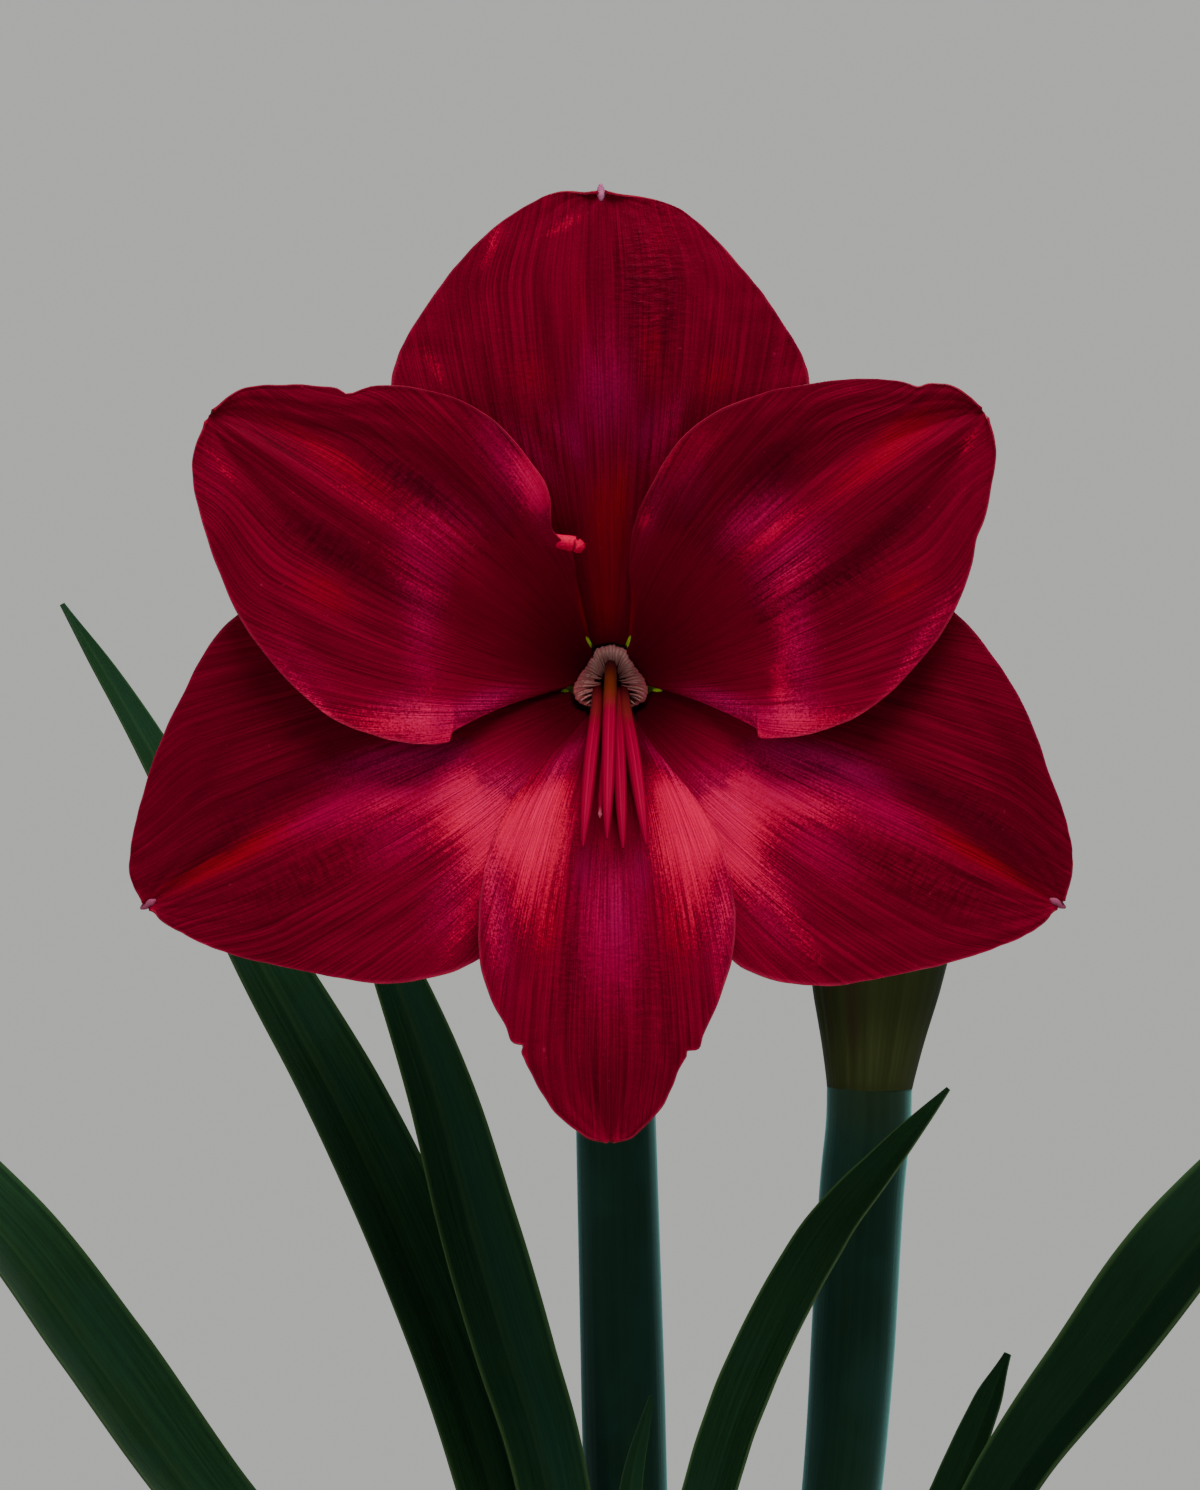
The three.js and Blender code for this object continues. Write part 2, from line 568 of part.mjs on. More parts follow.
// Corona: a flared collar in the throat, drawn in behind the three inner tepals and widest at its lower
// corners, with fringed teeth over its inner edge. Each row gives an angle from straight down, the
// radius of the inner edge, and the radius of the outer lip with its distance ahead of the throat.
const CORONA_SHAPE = [
  [0, 6.4, 7, 0.8], [32, 6.6, 7.5, 1.8], [56, 6.6, 9.2, 4.6], [74, 5.6, 8.6, 4.4], [98, 4.5, 6.7, 2.6],
  [118, 3.9, 5.9, 1.7], [140, 4.2, 6.2, 1.8], [153, 4.9, 7.2, 2.2], [180, 4.9, 7.4, 2],
];
const CORONA_STEPS = 36;
const CORONA_TEETH = 13;

function coronaPoint(degrees, radius, ahead) {
  const angle = THREE.MathUtils.degToRad(degrees - 90);
  return fromThroat(radius * Math.cos(angle), ahead, radius * Math.sin(angle));
}

function coronaAt(degrees, column) {
  return profileAt(CORONA_SHAPE.map((row) => [row[0], row[column]]), Math.abs(degrees));
}

function corona() {
  const points = [];
  for (let i = 0; i < CORONA_STEPS; i++) {
    const degrees = -180 + (360 * i) / CORONA_STEPS;
    const [inner, lip, ahead] = [1, 2, 3].map((column) => coronaAt(degrees, column));
    const neck = ahead - 1.6;
    const section = [
      [7.4, -1.4], [inner + 0.6, neck - 0.1], [lip + 0.1, ahead - 0.5], [lip - 0.2, ahead + 0.2], [inner, neck + 0.5],
      [6.3, -1.4],
    ];
    for (const [radius, y] of section) points.push(vec(...coronaPoint(degrees, radius, y)));
  }
  const triangles = [];
  for (let i = 0; i < CORONA_STEPS; i++) {
    for (let j = 0; j < 6; j++) {
      const [a, b] = [i * 6 + j, i * 6 + ((j + 1) % 6)];
      const [c, d] = [((i + 1) % CORONA_STEPS) * 6 + j, ((i + 1) % CORONA_STEPS) * 6 + ((j + 1) % 6)];
      triangles.push([a, b, d], [a, d, c]);
    }
  }
  let body = solid(outward(points, triangles));
  for (let i = 0; i < CORONA_TEETH; i++) {
    const degrees = mix(-116, 116, i / (CORONA_TEETH - 1)) + 180;
    const turn = degrees > 180 ? degrees - 360 : degrees;
    const inner = coronaAt(turn, 1);
    const neck = coronaAt(turn, 3) - 1.6;
    const droop = Math.sign(turn) * -9 * Math.sin(THREE.MathUtils.degToRad(Math.abs(turn)));
    const path = [
      coronaPoint(turn, inner + 0.3, neck + 0.2), coronaPoint(turn, inner - 0.3, neck + 0.4),
      coronaPoint(turn + droop, inner - 0.95, neck + 0.6),
    ];
    body = body.add(solid(stem(path, (s) => mix(0.42, 0.28, s), 4, 2)));
  }
  return body;
}

// Stamens: filaments on a ring inside the tube, bending down and forward over the lowest tepal.
// Each row gives the foot on the ring, the place where it passes the mouth, and its end.
const FILAMENTS = [
  { foot: [0, 4.7], mouth: [0, 2], end: [-0.9, -35.4], ahead: 45 },
  { foot: [-4.4, 1.5], mouth: [-2.9, -3.7], end: [-6.1, -37], ahead: 44 },
  { foot: [4.4, 1.5], mouth: [2.9, -3.9], end: [7.6, -36.7], ahead: 44 },
  { foot: [3, -3.9], mouth: [1.2, -3.4], end: [2.6, -37.5], ahead: 41.5 },
  { foot: [-3, -3.9], mouth: [-2.8, -4.6], end: [-5.6, -34], ahead: 39 },
  { foot: [1.6, -4.6], mouth: [2.8, -4.7], end: [6.9, -33.6], ahead: 39 },
];
const STAMEN_RING_DEPTH = 6;
const FILAMENT_RADII = [[0, 0.9], [0.3, 1.3], [0.82, 1.3], [0.93, 0.9], [1, 0.5]];

function stamens() {
  const ring = turned([[4.2, -1], [5.7, -1], [6.3, 1], [4.2, 1], [4.2, -1]], 18);
  ring.rotateX(Math.PI / 2);
  ring.translate(THROAT.x, THROAT.y + STAMEN_RING_DEPTH, THROAT.z);
  let body = solid(ring);
  for (const { foot, mouth, end, ahead } of FILAMENTS) {
    const path = [
      fromThroat(foot[0], -STAMEN_RING_DEPTH, foot[1]),
      fromThroat(mix(foot[0], mouth[0], 0.6), -2, mix(foot[1], mouth[1], 0.5)),
      fromThroat(mouth[0], 4, mouth[1]),
      fromThroat(mix(mouth[0], end[0], 0.5), mix(4, ahead, 0.52), mix(mouth[1], end[1], 0.45)),
      fromThroat(end[0], ahead, end[1]),
    ];
    body = body.add(solid(stem(path, (s) => profileAt(FILAMENT_RADII, s), 6, 8)));
  }
  return body;
}

// Style with its small three-lobed stigma, from the floor of the tube.
function style() {
  const end = fromThroat(-2.4, 35.5, -30);
  const path = [
    fromThroat(0, 0.5 + GAP - TUBE_HOLLOW_DEPTH, -0.4), fromThroat(0, 0, -0.7),
    fromThroat(-0.9, 9, -5), fromThroat(-1.3, 22, -16.4), end,
  ];
  let body = solid(stem(path, () => 0.75, 6, 8));
  for (let i = 0; i < 3; i++) {
    const lobe = new THREE.SphereGeometry(0.8, 6, 4);
    const angle = (2 * Math.PI * (i + 0.2)) / 3;
    lobe.translate(end[0] + 0.5 * Math.cos(angle), end[1] - 0.2, end[2] + 0.5 * Math.sin(angle));
    body = body.add(solid(lobe));
  }
  return body;
}

// The assembly.
const amaryllis = new THREE.Group();

function place(name, shape, colour, roughness) {
  const geometry = shape.isBufferGeometry ? shape : geometryOf(shape);
  const material = new THREE.MeshStandardMaterial({ color: colour, roughness, metalness: 0 });
  const mesh = new THREE.Mesh(geometry, material);
  mesh.name = name;
  amaryllis.add(mesh);
}

place("pot", pot(), COLOURS.clay, 0.85);
place("soil", soil(), COLOURS.soil, 0.95);
place("bulb", bulb(), COLOURS.papery, 0.7);
place("roots", roots(0), COLOURS.root, 0.7);
for (const leaf of LEAVES) {
  place(leaf.name, loft(leafRings(leaf, LEAF_STATIONS, 0)), COLOURS.leaf, 0.45);
}
place("scape_bloom", scape(SCAPE_BLOOM, 0, 0), COLOURS.stem, 0.5);
place("scape_bud", scape(SCAPE_BUD, 0, 0), COLOURS.stem, 0.5);
place("bud_spathe", budSpathe(), COLOURS.bud, 0.6);
place("spathe_valve_left", spatheValve(-1), COLOURS.bract, 0.8);
place("spathe_valve_right", spatheValve(1), COLOURS.bract, 0.8);
place("flower_stalk", flowerStalk(), COLOURS.stem, 0.5);
for (const spec of TEPALS) {
  place(spec.name, tepal(spec), COLOURS.petal, 0.45);
}
place("corona", corona(), COLOURS.corona, 0.6);
place("stamens", stamens(), COLOURS.filament, 0.45);
place("style", style(), COLOURS.filament, 0.45);

export default amaryllis;
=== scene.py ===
"""Potted amaryllis: a wide-open crimson flower, a closed bud, strap leaves, bulb and clay pot.

Metres in Blender, +Z up, origin at the centre of the pot's underside, flower facing -Y. The shapes
are worked out in millimetres and scaled once, when a mesh is made.
"""

import math

import bmesh
import bpy
import numpy as np
from bpy.props import FloatProperty, FloatVectorProperty, IntProperty, PointerProperty
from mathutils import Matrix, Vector


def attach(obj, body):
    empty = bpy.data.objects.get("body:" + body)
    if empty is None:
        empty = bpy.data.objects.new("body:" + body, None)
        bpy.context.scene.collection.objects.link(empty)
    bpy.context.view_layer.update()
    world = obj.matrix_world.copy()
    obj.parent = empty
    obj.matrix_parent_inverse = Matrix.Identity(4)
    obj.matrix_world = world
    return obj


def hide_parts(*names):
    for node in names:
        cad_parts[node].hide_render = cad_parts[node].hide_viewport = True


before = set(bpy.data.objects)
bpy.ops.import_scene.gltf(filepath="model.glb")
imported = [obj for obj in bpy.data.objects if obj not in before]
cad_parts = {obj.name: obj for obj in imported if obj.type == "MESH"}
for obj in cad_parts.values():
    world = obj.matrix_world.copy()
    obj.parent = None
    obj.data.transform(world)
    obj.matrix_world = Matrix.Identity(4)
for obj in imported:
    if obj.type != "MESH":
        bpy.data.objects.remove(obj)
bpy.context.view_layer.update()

bl_info = {
    "name": "Potted Amaryllis",
    "version": (1, 0, 0),
    "blender": (4, 5, 0),
    "location": "3D View > Sidebar > Amaryllis",
    "description": "Builds a potted amaryllis in flower around its packed frame",
    "category": "Object",
}

MM = 0.001

# The flower's place and form, in millimetres.
THROAT = np.array([-21.0, -45.0, 566.0])
FACE_Y = -85.0
VIEW_DISTANCE = 1100.0
EYE_X = -23.4
EYE_Z = 551.0
FUNNEL_DEPTH = 42.0
FUNNEL_REACH = 28.0
CLAW_RING = 8.3
INNER_WHORL_INSET = 1.7
WHORL_SPACE = 7.5
TEPAL_THICKNESS = 0.8
TUBE_MOUTH_RADIUS = 9.4
TUBE_HOLLOW_DEPTH = 12.0
STAMEN_RING_DEPTH = 6.0

# Bulb, mix and pot, in millimetres.
POT_HEIGHT = 150.0
POT_RIM_RADIUS = 88.0
POT_FOOT_RADIUS = 61.0
POT_FLOOR = 9.0
DRAIN_HOLES = 4
DRAIN_HOLE_RADIUS = 4.5
DRAIN_RING_RADIUS = 34.0
SOIL_LEVEL = 136.0


# Numbers and curves.

def smooth(low, high, x):
    """0 below low, 1 above high, and 3t^2 - 2t^3 between them."""
    t = np.clip((x - low) / (high - low), 0, 1)
    return t * t * (3 - 2 * t)


def mix(a, b, t):
    """a where t is 0, b where t is 1, in a straight line between."""
    return a + (b - a) * t


def bell(x, centre, width):
    """A bump of height 1: exp(-((x - centre) / width)^2)."""
    return np.exp(-((x - centre) / width) ** 2)


def wave(x, seed, octaves=4):
    """A smooth wandering line between about -1 and 1: sines whose pitches and phases come from the seed."""
    draw = np.random.default_rng(seed)
    total = 0
    for k in range(octaves):
        total = total + np.sin(x * (1.0 + 1.7 * k) * draw.uniform(0.8, 1.25) + draw.uniform(0, 6.28)) / (k + 1)
    return total / 1.6


def ring_wave(angle, seed, turns):
    """A wandering line that closes on itself: sines with whole numbers of waves to the turn."""
    draw = np.random.default_rng(seed)
    total = 0
    for count in turns:
        total = total + draw.uniform(0.5, 1.0) * np.sin(count * angle + draw.uniform(0, 6.28))
    return total / math.sqrt(len(turns))


def rail(points, v):
    """A rounded line through points at equal steps of v: a cubic on each span, whose slope at a point
    is half the step from the point before to the point after."""
    p = np.asarray(points, float)
    place = np.clip(v, 0, 1) * (len(p) - 1)
    i = np.minimum(place.astype(int), len(p) - 2)
    t = (place - i)[..., None]
    a, b, c, d = p[np.maximum(i - 1, 0)], p[i], p[i + 1], p[np.minimum(i + 2, len(p) - 1)]
    return 0.5 * (2 * b + (c - a) * t + (2 * a - 5 * b + 4 * c - d) * t ** 2 + (3 * b - a - 3 * c + d) * t ** 3)


def path_at(points, share):
    """Points and directions along a rounded path in space, at shares of its length. Each span is a cubic
    whose end slopes weigh the neighbouring steps by the square root of their lengths."""
    p = np.asarray(points, float)
    p = np.vstack([2 * p[0] - p[1], p, 2 * p[-1] - p[-2]])
    step = np.sqrt(np.maximum(np.linalg.norm(np.diff(p, axis=0), axis=1), 1e-4))
    dense = np.linspace(0, len(p) - 3, 40 * (len(p) - 3) + 1)
    i = np.minimum(dense.astype(int), len(p) - 4)
    t = (dense - i)[:, None]
    a, b, c, d = p[i], p[i + 1], p[i + 2], p[i + 3]
    d0, d1, d2 = step[i][:, None], step[i + 1][:, None], step[i + 2][:, None]
    m1 = d1 * ((b - a) / d0 - (c - a) / (d0 + d1) + (c - b) / d1)
    m2 = d1 * ((c - b) / d1 - (d - b) / (d1 + d2) + (d - c) / d2)
    line = b + m1 * t + (3 * (c - b) - 2 * m1 - m2) * t ** 2 + (2 * (b - c) + m1 + m2) * t ** 3
    length = np.concatenate([[0], np.cumsum(np.linalg.norm(np.diff(line, axis=0), axis=1))])
    want = np.asarray(share, float) * length[-1]
    at = np.stack([np.interp(want, length, line[:, k]) for k in range(3)], axis=-1)
    slope = np.gradient(line, length, axis=0)
    along = np.stack([np.interp(want, length, slope[:, k]) for k in range(3)], axis=-1)
    return at, along / np.linalg.norm(along, axis=-1, keepdims=True)


def rounded_at(pairs, x):
    """[place, value] pairs joined by a rounded line, with the slope at each pair taken from its neighbours."""
    place, value = np.array(pairs, float).T
    before, after = np.maximum(np.arange(len(place)) - 1, 0), np.minimum(np.arange(len(place)) + 1, len(place) - 1)
    slope = (value[after] - value[before]) / (place[after] - place[before])
    i = np.clip(np.searchsorted(place, x) - 1, 0, len(place) - 2)
    reach = place[i + 1] - place[i]
    t = np.clip((x - place[i]) / reach, 0, 1)
    return (value[i] * (1 + 2 * t) * (1 - t) ** 2 + value[i + 1] * t * t * (3 - 2 * t)
            + reach * (slope[i] * t * (1 - t) ** 2 - slope[i + 1] * t * t * (1 - t)))


def line_at(pairs, x):
    """[place, value] pairs joined by straight lines."""
    place, value = np.array(pairs, float).T
    return np.interp(x, place, value)


def unit(vectors):
    return vectors / np.maximum(np.linalg.norm(vectors, axis=-1, keepdims=True), 1e-9)


# Meshes.

def grid_faces(rows, columns, wrap=False):
    """Quads between neighbouring points of a grid of rows by columns, closed round each row if wrap."""
    i = np.arange(rows - 1)[:, None]
    j = np.arange(columns if wrap else columns - 1)[None, :]
    k = (j + 1) % columns
    return np.stack([i * columns + j, i * columns + k, (i + 1) * columns + k, (i + 1) * columns + j], -1).reshape(-1, 4)


def hoop_faces(rows, columns):
    """Quads of a grid that closes on itself both ways."""
    return grid_faces(rows + 1, columns, wrap=True) % (rows * columns)


def volume_of(points, faces):
    """Six times the signed volume inside closed quads. A triangle is written as a quad with a doubled corner."""
    a, b, c, d = (points[faces[:, k]] for k in range(4))
    return np.sum(a * (np.cross(b, c) + np.cross(c, d)))


def piece(name, points, quads, triangles=(), uv=None, marks=None, node=(), material=None, crease=50):
    """One finished piece: millimetre points made a smooth closed mesh, faces outwards, riding on the root body.
    uv gives each point its place across and along; marks are named values at each point."""
    quads = np.asarray(quads, int).reshape(-1, 4)
    triangles = np.asarray(triangles, int).reshape(-1, 3)
    closed = np.vstack([quads, np.column_stack([triangles, triangles[:, 2]])]) if len(triangles) else quads
    if volume_of(points, closed) < 0:
        quads, triangles = quads[:, ::-1], triangles[:, ::-1]
    mesh = bpy.data.meshes.new(name)
    mesh.from_pydata((points * MM).tolist(), [], quads.tolist() + triangles.tolist())
    for key, values in (marks or {}).items():
        mesh.attributes.new(key, "FLOAT", "POINT").data.foreach_set("value", np.asarray(values, np.float32).ravel())
    corner = np.empty(len(mesh.loops), int)
    mesh.loops.foreach_get("vertex_index", corner)
    if uv is not None:
        layer = mesh.uv_layers.new(name="grain")
        layer.data.foreach_set("uv", np.asarray(uv, np.float32).reshape(-1, 2)[corner].ravel())
    mesh.polygons.foreach_set("use_smooth", np.ones(len(mesh.polygons), bool))
    mesh.update()
    mesh.set_sharp_from_angle(angle=math.radians(crease))
    made = bpy.data.objects.new(name, mesh)
    bpy.context.scene.collection.objects.link(made)
    if material:
        mesh.materials.append(material)
    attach(made, "root")
    if node:
        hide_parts(*node)
    return made


def tube_parts(rings):
    """Points, quads and triangles of a skin over rings of equal count, closed at both ends by a pole."""
    rows, count = rings.shape[:2]
    points = np.vstack([rings.reshape(-1, 3), rings[0].mean(0), rings[-1].mean(0)])
    turn = np.arange(count)
    last = (rows - 1) * count
    start = np.stack([(turn + 1) % count, turn, np.full(count, rows * count)], -1)
    end = np.stack([last + turn, last + (turn + 1) % count, np.full(count, rows * count + 1)], -1)
    return points, grid_faces(rows, count, wrap=True), np.vstack([start, end])


def capped(values, first=0.0, last=0.0):
    """Values at the points of rings, with one for each of the two poles that close them."""
    return np.concatenate([np.ravel(values), [first, last]])


def ring_uv(rows, count, length):
    """Across from 0 to 1 and back again round each ring, so that a seam shows nothing; along in decimetres."""
    across = np.abs(np.linspace(-1, 1, count, endpoint=False))
    uv = np.stack(np.broadcast_arrays(across[None, :], np.linspace(0, length / 100, rows)[:, None]), -1)
    return np.vstack([uv.reshape(-1, 2), [[0.5, 0]], [[0.5, length / 100]]])


def stem_rings(path, radius_at, stations, count, ribs=0, rib=0.0, flat=1.0):
    """Rings square to a rounded path. A ring's radius is radius_at(share), times 1 + rib cos(ribs a) round it,
    and flat narrows it from front to back."""
    share = np.linspace(0, 1, stations)
    centre, along = path_at(path, share)
    side = np.where(np.abs(along[:, :1]) > 0.9, [[0.0, 1, 0]], [[1.0, 0, 0]])
    side = unit(side - along * np.sum(side * along, -1, keepdims=True))
    front = np.cross(along, side)
    angle = np.linspace(0, 2 * np.pi, count, endpoint=False)
    radius = radius_at(share)[:, None] * (1 + rib * np.cos(ribs * angle)[None, :])
    return (centre[:, None] + side[:, None] * (radius * np.cos(angle))[..., None]
            + front[:, None] * (flat * radius * np.sin(angle))[..., None])


def join_parts(parts):
    """Several (points, quads, triangles) sets as one."""
    points, quads, triangles, base = [], [], [], 0
    for p, q, t in parts:
        points.append(p)
        quads.append(np.asarray(q, int).reshape(-1, 4) + base)
        triangles.append(np.asarray(t, int).reshape(-1, 3) + base)
        base += len(p)
    return np.vstack(points), np.vstack(quads), np.vstack(triangles)


def outward(part):
    """The same part with its faces turned outwards, by the sign of its volume."""
    points, quads, triangles = part
    quads, triangles = np.asarray(quads, int).reshape(-1, 4), np.asarray(triangles, int).reshape(-1, 3)
    if volume_of(points, np.vstack([quads, np.column_stack([triangles, triangles[:, 2:]])])) < 0:
        return points, quads[:, ::-1], triangles[:, ::-1]
    return points, quads, triangles


# Shader building.

def add(tree, kind, values=None, **settings):
    """Adds a node. values maps its inputs to numbers, colours or sockets."""
    made = tree.nodes.new(kind)
    for key, value in settings.items():
        setattr(made, key, value)
    for key, value in (values or {}).items():
        feed(tree, made.inputs[key], value)
    return made


def feed(tree, socket, value):
    if isinstance(value, bpy.types.NodeSocket):
        tree.links.new(value, socket)
    elif value is not None:
        socket.default_value = value


def blend(tree, factor, a, b):
    """A colour between a and b."""
    return add(tree, "ShaderNodeMix", {0: factor, 6: a, 7: b}, data_type="RGBA", clamp_result=True).outputs[2]


def maths(tree, operation, a, b=None):
    return add(tree, "ShaderNodeMath", {0: a, 1: b}, operation=operation).outputs[0]


def times(tree, a, b):
    return maths(tree, "MULTIPLY", a, b)


def plus(tree, a, b):
    return maths(tree, "ADD", a, b)


def ramp(tree, value, low, high, to_low=0.0, to_high=1.0):
    """value carried smoothly from the range low..high to to_low..to_high."""
    made = add(tree, "ShaderNodeMapRange", {"Value": value, "From Min": low, "From Max": high,
                                            "To Min": to_low, "To Max": to_high}, interpolation_type="SMOOTHSTEP")
    return made.outputs["Result"]


def mark(tree, name):
    return add(tree, "ShaderNodeAttribute", attribute_name=name).outputs["Fac"]


def noise(tree, vector, scale, detail=3.0, rough=0.5):
    values = {"Vector": vector, "Scale": scale, "Detail": detail, "Roughness": rough}
    return add(tree, "ShaderNodeTexNoise", values).outputs["Fac"]


def stretched(tree, vector, across, along):
    """vector scaled apart across and along, so that a noise read with it is drawn out into fibres."""
    return add(tree, "ShaderNodeMapping", {"Vector": vector, "Scale": (across, along, 1.0)}).outputs["Vector"]


def group(name, size, usual, outputs, build):
    """A shader node group made once, given a place and one size: build(tree, inputs) returns the value of
    each output."""
    found = bpy.data.node_groups.get(name)
    if found:
        return found
    tree = bpy.data.node_groups.new(name, "ShaderNodeTree")
    tree.interface.new_socket(name="Place", in_out="INPUT", socket_type="NodeSocketVector")
    tree.interface.new_socket(name=size, in_out="INPUT", socket_type="NodeSocketFloat").default_value = usual
    for label in outputs:
        tree.interface.new_socket(name=label, in_out="OUTPUT", socket_type="NodeSocketFloat")
    start, end = tree.nodes.new("NodeGroupInput"), tree.nodes.new("NodeGroupOutput")
    for label, value in build(tree, start.outputs).items():
        tree.links.new(value, end.inputs[label])
    return tree


def fibres_group():
    """Fibres and veins drawn out along a piece: soft streaks, and thin dark lines where a stretched noise
    crosses its middle."""
    def build(tree, given):
        streaks = noise(tree, stretched(tree, given["Place"], 1.0, 0.05), given["Pitch"], 4.0, 0.62)
        fine = noise(tree, stretched(tree, given["Place"], 1.0, 0.03), times(tree, given["Pitch"], 1.7), 1.0, 0.4)
        off = maths(tree, "ABSOLUTE", maths(tree, "SUBTRACT", fine, 0.5))
        return {"Streaks": streaks, "Lines": ramp(tree, off, 0.0, 0.045, 1.0, 0.0)}
    return group("Fibres", "Pitch", 30.0, ("Streaks", "Lines"), build)


def crimps_group():
    """Small creases that lie across the veins."""
    def build(tree, given):
        return {"Crimps": noise(tree, stretched(tree, given["Place"], 1.0, 9.0), given["Pitch"], 3.0, 0.6)}
    return group("Crimps", "Pitch", 9.0, ("Crimps",), build)


def grains_group():
    """Skin cells: a fine glitter, slower cloudy patches, and single pale flecks."""
    def build(tree, given):
        place, scale = given["Place"], given["Scale"]
        return {"Cells": noise(tree, place, scale, 2.0, 0.7),
                "Clouds": noise(tree, place, times(tree, scale, 0.06), 4.0, 0.55),
                "Flecks": noise(tree, place, times(tree, scale, 0.5), 1.0, 0.3)}
    return group("Grains", "Scale", 1500.0, ("Cells", "Clouds", "Flecks"), build)


def placed(tree, shared, **values):
    """One use of a shared group with its own values."""
    made = add(tree, "ShaderNodeGroup", node_tree=shared)
    for key, value in values.items():
        feed(tree, made.inputs[key], value)
    return made.outputs


def new_material(name, roughness=0.5, specular=0.5, gloss_tint=(1, 1, 1, 1), sheen=0.0, sheen_tint=(1, 1, 1, 1),
                 subsurface=0.0):
    """A bare material with its Principled shader's constant values set, and its two places to read."""
    material = bpy.data.materials.new(name)
    material.use_nodes = True
    tree = material.node_tree
    shader = tree.nodes["Principled BSDF"]
    shader.inputs["Roughness"].default_value = roughness
    shader.inputs["Specular IOR Level"].default_value = specular
    shader.inputs["Specular Tint"].default_value = gloss_tint
    shader.inputs["Sheen Weight"].default_value = sheen
    shader.inputs["Sheen Roughness"].default_value = 0.4
    shader.inputs["Sheen Tint"].default_value = sheen_tint
    if subsurface:
        shader.inputs["Subsurface Weight"].default_value = subsurface
        shader.inputs["Subsurface Radius"].default_value = (1.0, 0.25, 0.2)
        shader.inputs["Subsurface Scale"].default_value = 0.0015
    where = add(tree, "ShaderNodeTexCoord")
    return material, tree, shader, where.outputs["UV"], where.outputs["Object"]


def finish_material(tree, shader, colour, height=None, roughness=None, strength=0.3, distance=0.0004):
    """Joins the worked-out colour, roughness and relief to the shader."""
    feed(tree, shader.inputs["Base Color"], colour)
    feed(tree, shader.inputs["Roughness"], roughness)
    if height is not None:
        relief = add(tree, "ShaderNodeBump", {"Height": height, "Strength": strength, "Distance": distance})
        tree.links.new(relief.outputs["Normal"], shader.inputs["Normal"])


def opaque(colour):
    return (*colour[:3], 1.0)


def layered(tree, look, colour, *layers):
    """Colours of a look laid over a colour in turn. Each layer is a mask, or the name of a mark, and the
    colour's name."""
    for mask, name in layers:
        mask = mark(tree, mask) if isinstance(mask, str) else mask
        colour = blend(tree, mask, colour, opaque(getattr(look, name)))
    return colour


# Materials.

